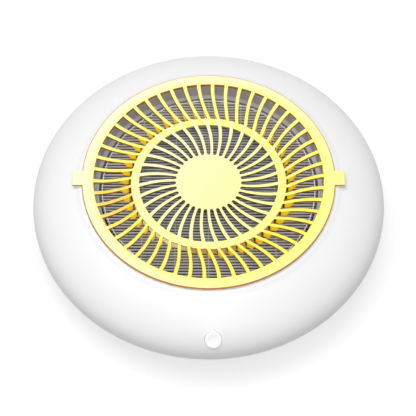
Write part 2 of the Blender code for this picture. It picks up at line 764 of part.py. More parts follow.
def inner_blades():
    """Thin blades from under the disc's edge to the outer edge of the middle ring, proud of the ring."""
    first = disc_radius - ROOT
    last = ring_radius - GAP
    bars = []
    for index in range(INNER_BLADES):
        bar = []
        for step in range(BLADE_STEPS + 1):
            share = step / BLADE_STEPS
            radius = first + (last - first) * share
            azimuth = inner_blade_angle(radius) + math.tau * index / INNER_BLADES
            half = (INNER_BLADE_WIDTH + INNER_BLADE_FLARE * share) / 2
            bar.append((polar(radius, azimuth).xy, half, disc_top - TRIM, disc_top - BLADE_DEPTH + TRIM))
        bars.append(bar)
    return loft_bars("inner_blades", bars)


def outer_blades():
    """Blades that climb from the middle ring to the rim, each with a hooked gusset down the skirt."""
    start = ring_radius - SKIRT_WALL * SKIRT_BITE_SHARE
    hook = ring_radius + GUSSET_REACH
    end = rim_inner + RIM_WIDTH * RIM_BITE_SHARE
    toe = ring_radius + GUSSET_REACH * GUSSET_TOE_SHARE
    climb_shares = (0.0, 0.5, 1.0)
    bars = []
    for index in range(OUTER_BLADES):
        stations = [(start, skirt_bottom + TRIM), (toe, skirt_bottom + TRIM)]
        for share in climb_shares:
            stations.append((hook + (end - hook) * share, None))
        bar = []
        for radius, bottom in stations:
            climb = min(max((radius - ring_radius) / (rim_inner - ring_radius), 0.0), 1.0)
            top = ring_top - TRIM + (RING_DROP - TRIM) * climb
            azimuth = outer_blade_angle(radius) + math.tau * index / OUTER_BLADES
            under = top - BLADE_DEPTH if bottom is None else bottom
            bar.append((polar(radius, azimuth).xy, OUTER_BLADE_WIDTH / 2, top, under))
        bars.append(bar)
    return loft_bars("outer_blades", bars)


def make_filter():
    """Cartridge that lifts out of the well: potted frame, pleated media and a foam seal below it."""
    potting_inner = frame_radius - FRAME_POTTING
    lip_inner = potting_inner - FRAME_LIP_REACH
    shelf = media_top + TRIM
    turned("filter_frame", [
        (frame_radius, frame_top), (frame_radius, frame_bottom), (lip_inner, frame_bottom),
        (lip_inner, frame_bottom + FRAME_LIP), (potting_inner, frame_bottom + FRAME_LIP),
        (potting_inner, shelf), (frame_radius - FRAME_WALL, shelf),
        (frame_radius - FRAME_WALL, frame_top)], LARGE_STEPS, filter_grey)
    turned("filter_seal", [
        (frame_radius, seal_bottom + SEAL_THICKNESS), (frame_radius, seal_bottom),
        (frame_radius - SEAL_WIDTH, seal_bottom), (frame_radius - SEAL_WIDTH, seal_bottom + SEAL_THICKNESS)],
        MIDDLE_STEPS, foam_black)
    pleats = math.floor(2 * media_radius / PLEAT_PITCH)
    upper = []
    for fold in range(2 * pleats + 1):
        across = PLEAT_PITCH * (fold / 2 - pleats / 2)
        sunk = PLEAT_HEIGHT - PLEAT_SHEET_DROP if fold % 2 == 0 else 0.0
        upper.append((across, media_top - sunk))
    lower = [(across, height - PLEAT_SHEET_DROP) for across, height in reversed(upper)]
    sheet = prism("filter_media", [upper + lower], -BODY_RADIUS, BODY_RADIUS, media_grey)
    place(sheet, Matrix(((0, 0, 1, 0), (1, 0, 0, 0), (0, 1, 0, 0), (0, 0, 0, 1))))
    trim = rod("media_trim", media_radius, media_bottom - OVERRUN, media_top + OVERRUN, LARGE_STEPS)
    combine(sheet, [trim], "INTERSECT")


def make_inlet_plate():
    """Funnel plate screwed under the ledge, with a finger guard across its throat."""
    plate = turned("inlet_plate", [
        (well_outside, plate_top), (well_outside, plate_bottom), (funnel_radius, plate_bottom),
        (throat_radius + THROAT_FLARE, throat_bottom), (throat_radius, throat_bottom),
        (throat_radius, throat_bottom + THROAT_EDGE),
        (throat_radius + THROAT_FLARE, throat_bottom + PLATE_THICKNESS), (funnel_radius, plate_top)],
        MIDDLE_STEPS, black_plastic)
    guard_bottom = throat_bottom + GAP
    guard_top = guard_bottom + GUARD_THICKNESS
    guard_inner = (GUARD_HUB_RADIUS + throat_radius - GUARD_RING_WIDTH) / 2
    guard_outer = guard_inner + GUARD_RING_WIDTH
    ring = turned("guard_ring", [
        (guard_outer, guard_top), (guard_outer, guard_bottom),
        (guard_inner, guard_bottom), (guard_inner, guard_top)], MIDDLE_STEPS)
    hub = rod("guard_hub", GUARD_HUB_RADIUS, guard_bottom, guard_top, SMALL_STEPS)
    bars = []
    for index in range(GUARD_SPOKES):
        azimuth = math.tau * index / GUARD_SPOKES
        ends = (GUARD_HUB_RADIUS - ROOT, throat_radius + ROOT)
        bars.append([(polar(radius, azimuth).xy, GUARD_RING_WIDTH / 2, guard_top - TRIM, guard_bottom + TRIM)
                     for radius in ends])
    union(plate, loft_bars("guard_spokes", bars))
    union(plate, ring)
    union(plate, hub)
    holes = []
    for azimuth in plate_screw_azimuths:
        hole = rod("screw_hole", SCREW_RADIUS + GAP, plate_bottom - OVERRUN, plate_top + OVERRUN, SCREW_STEPS)
        holes.append(place(hole, Matrix.Translation(polar(plate_screw_orbit, azimuth))))
    return cut(plate, *holes)


def make_impeller():
    """Closed centrifugal wheel: domed back plate, backward-curved blades and a tapered shroud."""
    dome_inner = dome_radius - DOME_WALL
    bore = SHAFT_RADIUS + GAP
    wheel = turned("impeller", [
        (HUB_RADIUS, hub_top), (HUB_RADIUS, dome_top), (dome_radius - DOME_ROUND, dome_top),
        (dome_radius, dome_top - DOME_ROUND), (dome_radius, impeller_deck), (impeller_radius, impeller_deck),
        (impeller_radius, impeller_floor), (dome_inner, impeller_floor),
        (dome_inner, dome_inner_top - DOME_WALL), (dome_inner - DOME_WALL, dome_inner_top),
        (bore, dome_inner_top), (bore, hub_top)], MIDDLE_STEPS, black_plastic)
    shroud_edge = impeller_top - IMPELLER_TAPER
    shroud = turned("shroud", [
        (impeller_eye, impeller_top), (impeller_radius, shroud_edge),
        (impeller_radius, shroud_edge - IMPELLER_WALL), (impeller_eye, impeller_top - IMPELLER_WALL)],
        MIDDLE_STEPS)
    bars = []
    for index in range(IMPELLER_BLADES):
        bar = []
        for step in range(BLADE_STEPS + 1):
            share = step / BLADE_STEPS
            radius = impeller_blade_root + (impeller_radius - ROOT - impeller_blade_root) * share
            azimuth = math.tau * index / IMPELLER_BLADES - IMPELLER_BLADE_SWEEP * share
            slope = min(max((radius - impeller_eye) / (impeller_radius - impeller_eye), 0.0), 1.0)
            top = impeller_top - IMPELLER_WALL / 2 - IMPELLER_TAPER * slope
            bottom = impeller_floor + IMPELLER_WALL / 2
            bar.append((polar(radius, azimuth).xy, IMPELLER_BLADE_WIDTH / 2, top, bottom))
        bars.append(bar)
    union(wheel, loft_bars("fan_blades", bars))
    return union(wheel, shroud)


def make_motor():
    """Motor on the floor of the body: base flange, cup, rotor on its shaft and two bearings."""
    hole = BEARING_RADIUS + GAP
    base = turned("motor_base", [
        (motor_base_radius, motor_base_top), (motor_base_radius, motor_base_bottom),
        (hole, motor_base_bottom), (hole, motor_base_top)], MIDDLE_STEPS, steel)
    holes = [place(rod("screw_hole", MOTOR_SCREW_RADIUS + GAP, motor_base_bottom - OVERRUN,
                       motor_base_top + OVERRUN, SCREW_STEPS),
                   Matrix.Translation(polar(motor_screw_orbit, azimuth))) for azimuth in motor_screw_azimuths]
    cut(base, *holes)
    inner_top = motor_top - MOTOR_WALL
    turned("motor_can", [
        (hole + COLLAR_WALL, motor_top + COLLAR_WALL), (hole + COLLAR_WALL, motor_top),
        (MOTOR_RADIUS, motor_top), (MOTOR_RADIUS, motor_bottom), (MOTOR_RADIUS - MOTOR_WALL, motor_bottom),
        (MOTOR_RADIUS - MOTOR_WALL, inner_top), (hole, inner_top), (hole, motor_top + COLLAR_WALL)],
        MIDDLE_STEPS, steel)
    bore = SHAFT_RADIUS + GAP
    upper_bottom = motor_top + COLLAR_WALL - BEARING_LENGTH
    for name, bottom in (("bearing_lower", motor_base_bottom), ("bearing_upper", upper_bottom)):
        turned(name, [
            (BEARING_RADIUS, bottom + BEARING_LENGTH), (BEARING_RADIUS, bottom), (bore, bottom),
            (bore, bottom + BEARING_LENGTH)], SMALL_STEPS, brass)
    rotor_bottom = (motor_bottom + inner_top - ROTOR_LENGTH) / 2
    rotor = turned("motor_rotor", [
        (rotor_radius, rotor_bottom + ROTOR_LENGTH), (rotor_radius, rotor_bottom),
        (bore, rotor_bottom), (bore, rotor_bottom + ROTOR_LENGTH)], MIDDLE_STEPS, copper)
    shaft = rod("motor_shaft", SHAFT_RADIUS, motor_base_bottom, hub_top, SMALL_STEPS, steel)
    return rotor, shaft


def scroll_path():
    """Inner face of the scroll, from the outlet past the cut-off and round to the outlet again."""
    points = []
    cutoff = polar(scroll_cutoff, SCROLL_START).xy
    points.append(cutoff + polar(SCROLL_OUTLET + scroll_growth, SCROLL_OUTLET_TURN).xy)
    for step in range(SCROLL_STEPS + 1):
        share = step / SCROLL_STEPS
        radius = scroll_cutoff + scroll_growth * share
        points.append(polar(radius, SCROLL_START + SCROLL_TURN * share).xy)
    end = SCROLL_START + SCROLL_TURN
    points.append(points[-1] + polar(SCROLL_OUTLET, end + math.pi / 2).xy)
    return points


def offset_path(points, distance):
    """Shift a path to its right-hand side."""
    moved = []
    for index, point in enumerate(points):
        before = points[max(index - 1, 0)]
        after = points[min(index + 1, len(points) - 1)]
        along = (after - before).normalized()
        moved.append(point + Vector((along.y, -along.x)) * distance)
    return moved


def make_scroll():
    """Spiral fan housing: a floor with a hole for the motor and one wall that grows towards the outlet."""
    inside = scroll_path()
    outside = offset_path(inside, SCROLL_WALL)
    turns = [math.tau * step / MIDDLE_STEPS for step in range(MIDDLE_STEPS)]
    hole = [polar(motor_base_radius + ROOT, turn).xy for turn in turns]
    floor = prism("fan_scroll", [outside, hole], scroll_floor_height, scroll_floor_top, black_plastic)
    wall = prism("scroll_wall", [inside + outside[::-1]], scroll_floor_height + GAP, scroll_top)
    return union(floor, wall)


def button_outline(margin):
    """Round outline with a small pointed nub towards the grille, grown by a margin."""
    radius = BUTTON_RADIUS + margin
    nub = BUTTON_RADIUS + BUTTON_NUB + margin
    count = BUTTON_STEPS
    points = [(0.0, nub)]
    for step in range(count + 1):
        turn = math.pi / 2 + BUTTON_NUB_SPREAD + (math.tau - 2 * BUTTON_NUB_SPREAD) * step / count
        points.append((radius * math.cos(turn), radius * math.sin(turn)))
    return points


def make_button():
    """Push button with its own frame: +Z along the surface normal, +Y up the shoulder."""
    bottom = -BUTTON_SKIRT
    cap = prism("button_cap", [button_outline(0.0)], bottom, BUTTON_PROUD, white_gloss)
    flange = rod("flange", BUTTON_FLANGE_RADIUS, bottom - BUTTON_FLANGE_THICKNESS, bottom + TRIM,
                 BUTTON_STEPS)
    stem = rod("stem", BUTTON_STEM_RADIUS, stem_bottom, bottom, SMALL_STEPS)
    union(cap, flange)
    union(cap, stem)
    sphere_radius = (BUTTON_DISH_RADIUS ** 2 + BUTTON_DISH_DEPTH ** 2) / (2 * BUTTON_DISH_DEPTH)
    floor_height = BUTTON_PROUD - BUTTON_DISH_DEPTH
    dish = [(0.0, BUTTON_PROUD + OVERRUN), (BUTTON_DISH_RADIUS, BUTTON_PROUD + OVERRUN)]
    for step in range(BUTTON_DISH_STEPS):
        radius = BUTTON_DISH_RADIUS * (1 - step / BUTTON_DISH_STEPS)
        height = floor_height + sphere_radius - math.sqrt(sphere_radius ** 2 - radius ** 2)
        dish.append((radius, height))
    dish.append((0.0, floor_height))
    cut(cap, turned("dish", dish, BUTTON_STEPS, closed=False))
    plunger_top = stem_bottom - GAP
    plunger = rod("switch_plunger", PLUNGER_RADIUS, plunger_top - PLUNGER_LENGTH, plunger_top, SMALL_STEPS,
                  black_plastic)
    for piece in (cap, plunger):
        piece.matrix_world = button_frame
    return cap, plunger


def make_control_board():
    """Board on two posts behind the button, with its switch, screws and lead connector."""
    half = SWITCH_SIZE / 2
    switch = box("push_switch", (-half, -half, switch_bottom), (half, half, switch_top), steel)
    well_bottom = switch_top - PLUNGER_LENGTH + PLUNGER_RISE - BUTTON_TRAVEL - GAP
    cut(switch, rod("plunger_well", PLUNGER_RADIUS + GAP, well_bottom, switch_top + OVERRUN, SMALL_STEPS))
    board = box("control_board", (-BOARD_LENGTH / 2, -BOARD_WIDTH / 2, board_top - BOARD_THICKNESS),
                (BOARD_LENGTH / 2, BOARD_WIDTH / 2, board_top), board_green)
    board_bottom = board_top - BOARD_THICKNESS
    connector_top = board_bottom - GAP
    connector_bottom = connector_top - CONNECTOR_HEIGHT
    connector = box("lead_connector", (-CONNECTOR_LENGTH / 2, -CONNECTOR_WIDTH / 2, connector_bottom),
                    (CONNECTOR_LENGTH / 2, CONNECTOR_WIDTH / 2, connector_top), nylon)
    holes = []
    screws = []
    for index, side in enumerate((-1, 1)):
        shift = Matrix.Translation((side * board_post_span / 2, 0.0, 0.0))
        holes.append(place(rod("board_hole", BOARD_SCREW_RADIUS + GAP, board_bottom - OVERRUN,
                               board_top + OVERRUN, SCREW_STEPS), shift))
        tip = board_top + BOARD_SCREW_BITE
        length = tip - board_bottom + GAP
        screws.append(make_screw(f"board_screw_{index + 1}", tip, False, BOARD_SCREW_RADIUS,
                                 BOARD_SCREW_HEAD_RADIUS, BOARD_SCREW_HEAD_HEIGHT, length, shift, steel))
    cut(board, *holes)
    for piece in (switch, board, connector, *screws):
        piece.matrix_world = button_frame


def make_socket():
    """Barrel socket with a centre pin, facing out of its pocket."""
    bore_end = -SOCKET_BORE_DEPTH
    profile = [
        (0.0, bore_end + SOCKET_PIN_LENGTH), (SOCKET_PIN_RADIUS, bore_end + SOCKET_PIN_LENGTH),
        (SOCKET_PIN_RADIUS, bore_end), (SOCKET_BORE_RADIUS, bore_end), (SOCKET_BORE_RADIUS, 0.0),
        (SOCKET_RADIUS, 0.0), (SOCKET_RADIUS, -SOCKET_LENGTH), (0.0, -SOCKET_LENGTH)]
    socket = turned("dc_socket", profile, SMALL_STEPS, black_plastic, closed=False)
    return place(socket, Matrix.Rotation(SOCKET_AZIMUTH, 4, "Z") @ socket_frame)


def make_lead(name, radius, points, look):
    """A lead clipped inside the body, as a smooth tube through its route's points."""
    curve = bpy.data.curves.new(name, "CURVE")
    curve.dimensions = "3D"
    curve.bevel_depth = radius
    curve.bevel_resolution = 1
    curve.use_fill_caps = True
    curve.resolution_u = 2
    spline = curve.splines.new("BEZIER")
    spline.bezier_points.add(len(points) - 1)
    for knot, point in zip(spline.bezier_points, points):
        knot.co = point
        knot.handle_left_type = "AUTO"
        knot.handle_right_type = "AUTO"
    return from_curve(name, curve, Matrix.Identity(4), look)


def make_leads():
    """Both leads run round the outside of the filter well to the connector on the control board."""
    quarter = CONNECTOR_LENGTH / 4
    entry_depth = board_top - BOARD_THICKNESS - GAP - CONNECTOR_HEIGHT - GAP

    def connector_end(across):
        straight = button_frame @ Vector((across, 0.0, entry_depth - LEAD_ENTRY))
        return [straight, button_frame @ Vector((across, 0.0, entry_depth))]

    socket_rear = socket_face_orbit - SOCKET_LENGTH - GAP
    right = [polar(socket_rear - reach, SOCKET_AZIMUTH, socket_height) for reach in (0.0, LEAD_ENTRY)]
    for index, azimuth in enumerate(SOCKET_LEAD_AZIMUTHS):
        rise = socket_height + (lead_height - socket_height) * index / (len(SOCKET_LEAD_AZIMUTHS) - 1)
        right.append(polar(lead_orbit, azimuth, rise))
    make_lead("socket_lead", SOCKET_LEAD_RADIUS, right + connector_end(quarter), black_plastic)
    motor_height = (motor_base_bottom + motor_base_top) / 2
    left = [polar(motor_base_radius + GAP, math.pi, motor_height)]
    left.append(polar(scroll_post_orbit, math.pi, motor_height))
    left.append(polar((scroll_post_orbit + lead_orbit) / 2, math.pi, scroll_floor_height))
    for index, azimuth in enumerate(MOTOR_LEAD_AZIMUTHS):
        rise = socket_height + (lead_height - socket_height) * index / (len(MOTOR_LEAD_AZIMUTHS) - 1)
        left.append(polar(lead_orbit, azimuth, rise))
    make_lead("motor_lead", MOTOR_LEAD_RADIUS, left + connector_end(-quarter), lead_red)


def make_feet_and_screws():
    """Rubber feet plugged into their posts, and the screws of the shells, the inlet plate and the motor."""
    for index, azimuth in enumerate(foot_azimuths):
        stem_top = foot_post_bottom + FOOT_STEM_HEIGHT - GAP
        foot = turned(f"foot_{index + 1}", [
            (0.0, stem_top), (FOOT_STEM_RADIUS, stem_top), (FOOT_STEM_RADIUS, FOOT_HEIGHT),
            (FOOT_RADIUS, FOOT_HEIGHT), (FOOT_RADIUS, FOOT_ROUND), (FOOT_RADIUS - FOOT_ROUND, 0.0),
            (0.0, 0.0)], SMALL_STEPS, rubber, closed=False)
        place(foot, Matrix.Translation(polar(foot_orbit, azimuth)))
    for index, azimuth in enumerate(pillar_azimuths):
        length = PILLAR_SEAT + GAP + PILLAR_BITE
        tip = pillar_seat_bottom - GAP + length
        make_screw(f"shell_screw_{index + 1}", tip, False, SCREW_RADIUS, SCREW_HEAD_RADIUS, SCREW_HEAD_HEIGHT,
                   length, Matrix.Translation(polar(pillar_orbit, azimuth)), steel)
    for index, azimuth in enumerate(plate_screw_azimuths):
        tip = ledge_bottom + PLATE_SCREW_BITE - GAP
        length = tip - plate_bottom + GAP
        make_screw(f"plate_screw_{index + 1}", tip, False, SCREW_RADIUS, SCREW_HEAD_RADIUS, SCREW_HEAD_HEIGHT,
                   length, Matrix.Translation(polar(plate_screw_orbit, azimuth)), steel)
    for index, azimuth in enumerate(motor_screw_azimuths):
        tip = motor_seat_height - MOTOR_SCREW_BITE + GAP
        length = motor_base_top + GAP - tip
        spot = Matrix.Translation(polar(motor_screw_orbit, azimuth))
        make_screw(f"motor_screw_{index + 1}", tip, True, MOTOR_SCREW_RADIUS, MOTOR_SCREW_HEAD_RADIUS,
                   MOTOR_SCREW_HEAD_HEIGHT, length, spot, steel)


for leftover in list(bpy.data.objects):
    bpy.data.objects.remove(leftover)
parts = collection("nail_dust_collector")
cutters = collection("cutters")

white_gloss = material("white_gloss", (0.86, 0.86, 0.86), 0.22)
pale_gold = material("pale_gold", (0.90, 0.74, 0.24), 0.35)
filter_grey = material("filter_grey", (0.20, 0.20, 0.21), 0.65)
media_grey = material("media_grey", (0.35, 0.35, 0.36), 0.90)
foam_black = material("foam_black", (0.03, 0.03, 0.03), 0.95)
black_plastic = material("black_plastic", (0.03, 0.03, 0.03), 0.45)
steel = material("steel", (0.55, 0.55, 0.56), 0.35, 1.0)
brass = material("brass", (0.75, 0.55, 0.25), 0.30, 1.0)
copper = material("copper", (0.70, 0.35, 0.20), 0.40, 1.0)
rubber = material("rubber", (0.12, 0.12, 0.12), 0.85)
board_green = material("board_green", (0.03, 0.18, 0.08), 0.50)
nylon = material("nylon", (0.75, 0.73, 0.66), 0.50)
lead_red = material("lead_red", (0.45, 0.03, 0.02), 0.50)

# Places of the fasteners round the axis
pillar_azimuths = [math.radians(45 + 90 * index) for index in range(4)]
foot_azimuths = pillar_azimuths
plate_screw_azimuths = [math.radians(90 + 120 * index) for index in range(3)]
plate_screw_orbit = (ledge_radius + well_radius) / 2
scroll_post_azimuths = [math.radians(30 + 120 * index) for index in range(3)]
motor_screw_azimuths = [math.radians(60 + 120 * index) for index in range(3)]

# The button's own frame: its origin on the crown, +Z outwards, +Y up the shoulder
button_azimuth = -math.pi / 2 + BUTTON_SWING
button_tilt = crown_elevation(button_orbit)
button_frame = (Matrix.Translation(polar(button_orbit, button_azimuth, crown_height(button_orbit)))
                @ Matrix.Rotation(button_azimuth + math.pi / 2, 4, "Z")
                @ Matrix.Rotation(math.pi / 2 - button_tilt, 4, "X"))
stem_bottom = -BUTTON_SKIRT - BUTTON_FLANGE_THICKNESS - BUTTON_STEM_LENGTH
switch_top = stem_bottom - GAP - PLUNGER_RISE
switch_bottom = switch_top - SWITCH_HEIGHT
board_top = switch_bottom - GAP

# The socket's own frame before it is turned to its azimuth: +Z outwards along +X
socket_place = Matrix.Translation((socket_face_orbit, 0.0, socket_height))
socket_frame = socket_place @ Matrix.Rotation(math.pi / 2, 4, "Y")

make_top_shell()
make_filter_well()
make_bottom_shell()
make_grille()
make_filter()
make_inlet_plate()
make_impeller()
make_motor()
make_scroll()
make_button()
make_control_board()
make_socket()
make_leads()
make_feet_and_screws()
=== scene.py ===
"""Nail dust collector: the looks of a round desk extractor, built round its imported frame.

Metres, +Z up, origin on the table under the middle of the body, push button towards -Y.
"""

import math

import bmesh
import bpy
from mathutils import Matrix, Vector


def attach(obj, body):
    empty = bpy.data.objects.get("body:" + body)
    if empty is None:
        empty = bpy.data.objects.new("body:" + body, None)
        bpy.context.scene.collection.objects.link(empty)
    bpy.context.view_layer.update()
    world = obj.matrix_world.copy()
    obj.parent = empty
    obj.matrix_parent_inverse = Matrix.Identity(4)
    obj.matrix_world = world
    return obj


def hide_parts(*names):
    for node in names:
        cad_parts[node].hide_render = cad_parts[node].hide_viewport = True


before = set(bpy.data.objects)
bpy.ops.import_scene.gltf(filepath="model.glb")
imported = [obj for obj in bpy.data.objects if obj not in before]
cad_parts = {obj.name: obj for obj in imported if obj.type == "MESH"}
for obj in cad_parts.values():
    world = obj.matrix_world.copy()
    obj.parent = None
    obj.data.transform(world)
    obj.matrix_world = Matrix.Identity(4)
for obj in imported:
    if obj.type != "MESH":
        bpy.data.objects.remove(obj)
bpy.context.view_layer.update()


# Studio. A wide soft lamp hangs over the collector, a weaker one fills it from the front, and a pale
# room lies round both. The sweep under it is white to the camera and keeps a soft shadow.
SWEEP_SIZE = 7.0
SWEEP_NEAR = 0.26
SWEEP_FAR = 0.75
SWEEP_TONE = 0.45
SWEEP_GLOW = 0.62
SWEEP_SHADOW_SHARE = 0.46
ROOM_LOW = 0.12
ROOM_HIGH = 0.72
ROOM_TOP = 0.9
ROOM_FRONT = 0.14
ROOM_FRONT_START = -0.2
OVERHEAD_PLACE = (-0.24, 0.10, 1.55)
OVERHEAD_SIZE = 1.1
OVERHEAD_WATTS = 13.0
FRONT_PLACE = (0.12, -0.85, 1.45)
FRONT_AIM = (0.0, 0.0, 0.05)
FRONT_SIZE = 0.6
FRONT_WATTS = 4.4
CAMERA_PLACE = (-0.0005, -0.777, 1.278)
CAMERA_PITCH = math.radians(31.9)
CAMERA_LENS = 152.65
CAMERA_SENSOR = 36.0
CAMERA_NEAREST = 0.05
CAMERA_FARTHEST = 50.0


def feed(tree, socket, value):
    """Join another node's output to a socket, or give the socket a value of its own."""
    if isinstance(value, bpy.types.NodeSocket):
        tree.links.new(value, socket)
    elif socket.type == "RGBA":
        socket.default_value = (*value, 1.0)
    else:
        socket.default_value = value


def work_out(tree, operation, *values):
    """The result of a sum on numbers."""
    node = tree.nodes.new("ShaderNodeMath")
    node.operation = operation
    for socket, value in zip(node.inputs, values):
        feed(tree, socket, value)
    return node.outputs[0]


def work_out_vector(tree, operation, *values):
    """The result of a sum on vectors, which is a number for a length or a dot product."""
    node = tree.nodes.new("ShaderNodeVectorMath")
    node.operation = operation
    for socket, value in zip(node.inputs, values):
        feed(tree, socket, value)
    return node.outputs["Value" if operation in ("LENGTH", "DOT_PRODUCT") else "Vector"]


def carry_over(tree, value, low, high, first=0.0, last=1.0):
    """A value carried over from one range to another and held at its ends."""
    node = tree.nodes.new("ShaderNodeMapRange")
    for title, number in (("From Min", low), ("From Max", high), ("To Min", first), ("To Max", last)):
        node.inputs[title].default_value = number
    tree.links.new(value, node.inputs["Value"])
    return node.outputs["Result"]


def split_up(tree, vector):
    """The X, Y and Z of a vector."""
    node = tree.nodes.new("ShaderNodeSeparateXYZ")
    tree.links.new(vector, node.inputs[0])
    return node.outputs


def change_shader(tree, share, first, second):
    """The first shader, which gives way to the second by a share."""
    node = tree.nodes.new("ShaderNodeMixShader")
    for socket, value in zip(node.inputs, (share, first, second)):
        tree.links.new(value, socket)
    return node.outputs[0]


def camera_sees(tree):
    """A value of 1 where a ray shows the surface straight, in a reflection or through glass."""
    path = tree.nodes.new("ShaderNodeLightPath")
    opaque = work_out(tree, "MAXIMUM", path.outputs["Is Camera Ray"], path.outputs["Is Glossy Ray"])
    return work_out(tree, "MAXIMUM", opaque, path.outputs["Is Transmission Ray"])


def lay_sweep():
    """The white floor, which shows a soft shadow and goes on past the picture's edges."""
    made = bpy.data.materials.new("white_sweep")
    made.use_nodes = True
    tree = made.node_tree
    tree.nodes.clear()
    for_light = tree.nodes.new("ShaderNodeBsdfDiffuse")
    for_light.inputs["Color"].default_value = (SWEEP_TONE, SWEEP_TONE, SWEEP_TONE, 1.0)
    for_eye = tree.nodes.new("ShaderNodeBsdfDiffuse")
    share = SWEEP_SHADOW_SHARE
    for_eye.inputs["Color"].default_value = (share, share, share, 1.0)
    glow = tree.nodes.new("ShaderNodeEmission")
    glow.inputs["Strength"].default_value = SWEEP_GLOW
    shown = tree.nodes.new("ShaderNodeAddShader")
    tree.links.new(for_eye.outputs[0], shown.inputs[0])
    tree.links.new(glow.outputs[0], shown.inputs[1])
    place = tree.nodes.new("ShaderNodeTexCoord")
    away = work_out_vector(tree, "LENGTH", place.outputs["Object"])
    beyond = carry_over(tree, away, SWEEP_NEAR, SWEEP_FAR)
    plain = tree.nodes.new("ShaderNodeEmission")
    seen = change_shader(tree, beyond, shown.outputs[0], plain.outputs[0])
    end = tree.nodes.new("ShaderNodeOutputMaterial")
    tree.links.new(change_shader(tree, camera_sees(tree), for_light.outputs[0], seen), end.inputs["Surface"])
    shape = bmesh.new()
    bmesh.ops.create_grid(shape, x_segments=1, y_segments=1, size=SWEEP_SIZE / 2)
    mesh = bpy.data.meshes.new("sweep")
    shape.to_mesh(mesh)
    shape.free()
    mesh.materials.append(made)
    sweep = bpy.data.objects.new("sweep", mesh)
    bpy.context.scene.collection.objects.link(sweep)


def fill_room():
    """A room that lights from overhead and a little from the front, white for camera and gloss."""
    room = bpy.data.worlds.new("pale_room")
    room.use_nodes = True
    tree = room.node_tree
    tree.nodes.clear()
    place = tree.nodes.new("ShaderNodeTexCoord")
    parts = split_up(tree, place.outputs["Generated"])
    rise = carry_over(tree, parts["Z"], 0.0, ROOM_TOP, ROOM_LOW, ROOM_HIGH)
    front = carry_over(tree, parts["Y"], ROOM_FRONT_START, -1.0, 0.0, ROOM_FRONT)
    for_light = tree.nodes.new("ShaderNodeBackground")
    tree.links.new(work_out(tree, "ADD", rise, front), for_light.inputs["Strength"])
    for_eye = tree.nodes.new("ShaderNodeBackground")
    for_eye.inputs["Color"].default_value = (1.0, 1.0, 1.0, 1.0)
    end = tree.nodes.new("ShaderNodeOutputWorld")
    choice = change_shader(tree, camera_sees(tree), for_light.outputs[0], for_eye.outputs[0])
    tree.links.new(choice, end.inputs["Surface"])
    bpy.context.scene.world = room


def hang_lamp(name, place, aim, size, watts):
    """A square soft white lamp that looks at a point."""
    light = bpy.data.lights.new(name, "AREA")
    light.shape = "SQUARE"
    light.size = size
    light.energy = watts
    lamp = bpy.data.objects.new(name, light)
    lamp.location = place
    lamp.rotation_euler = (Vector(aim) - Vector(place)).to_track_quat("-Z", "Y").to_euler()
    bpy.context.scene.collection.objects.link(lamp)


def set_camera():
    """The long lens that looks down on the collector from the front."""
    eye = bpy.data.cameras.new("eye")
    eye.lens = CAMERA_LENS
    eye.sensor_width = CAMERA_SENSOR
    eye.clip_start = CAMERA_NEAREST
    eye.clip_end = CAMERA_FARTHEST
    camera = bpy.data.objects.new("eye", eye)
    camera.location = CAMERA_PLACE
    camera.rotation_euler = (CAMERA_PITCH, 0.0, 0.0)
    bpy.context.scene.collection.objects.link(camera)
    bpy.context.scene.camera = camera


lay_sweep()
fill_room()
hang_lamp("overhead_lamp", OVERHEAD_PLACE, (0.0, 0.0, 0.0), OVERHEAD_SIZE, OVERHEAD_WATTS)
hang_lamp("front_lamp", FRONT_PLACE, FRONT_AIM, FRONT_SIZE, FRONT_WATTS)
set_camera()
bpy.context.scene.view_settings.view_transform = "Standard"


# Top shell and filter well. The crown and the flat land that the grille lies on are one white moulding
# with a polished skin, held to the belly by four screws. The well hangs in it as a ring of its own.
BODY_RADIUS = 0.145
WIDEST_HEIGHT = 0.040
CROWN_RISE = 0.0436
CROWN_POWER = 2.17
CROWN_STEPS = 64
BELLY_DROP = 0.0365
BELLY_FLAT = 0.030
SHELL_WALL = 0.0024
PARTING_HEIGHT = 0.034
PARTING_EASE = 0.0003
PARTING_INSET = 0.00028
PARTING_FACE = 0.0022
PARTING_STEPS = 6
LAND_HEIGHT = 0.0727
LAND_RADIUS = 0.1034
LAND_BLEND = 0.0056
LAND_STEPS = 12
WELL_RADIUS = 0.0965
WELL_OUTSIDE = 0.0989
LEDGE_RADIUS = 0.086
LEDGE_TOP = 0.0455
LEDGE_BOTTOM = 0.0411
MOULDED_EDGE = 0.0004
SMALL_EDGE = 0.0003
GAP = 0.0003
BUTTON_ORBIT = 0.1375
BUTTON_AZIMUTH = math.radians(-88.5)
BUTTON_RADIUS = 0.0067
NUB_RISE = 0.0018
NUB_SPREAD = math.radians(21)
NUB_POWER = 1.15
HOLE_STEPS = 120
HOLE_RINGS = ((0.00030, -0.012, False), (0.00030, -0.00014, True), (0.00048, 0.00004, True),
              (0.0030, 0.0025, True))
ROUND_FACETS = 240
SHARP_DEGREES = 34
WELD = 0.000002
WHITE = (0.92, 0.92, 0.922)
WHITE_PATCH = (0.895, 0.895, 0.90)
GRAIN_DEPTH = 0.0002
PATCHES_PER_METRE = 26.0


def start_material(name, tone, roughness, metallic=0.0):
    """A material with its shader's even values set; returns its node tree and shader too."""
    made = bpy.data.materials.new(name)
    made.use_nodes = True
    shader = made.node_tree.nodes["Principled BSDF"]
    shader.inputs["Base Color"].default_value = (*tone, 1.0)
    shader.inputs["Roughness"].default_value = roughness
    shader.inputs["Metallic"].default_value = metallic
    made.diffuse_color = (*tone, 1.0)
    return made, made.node_tree, shader


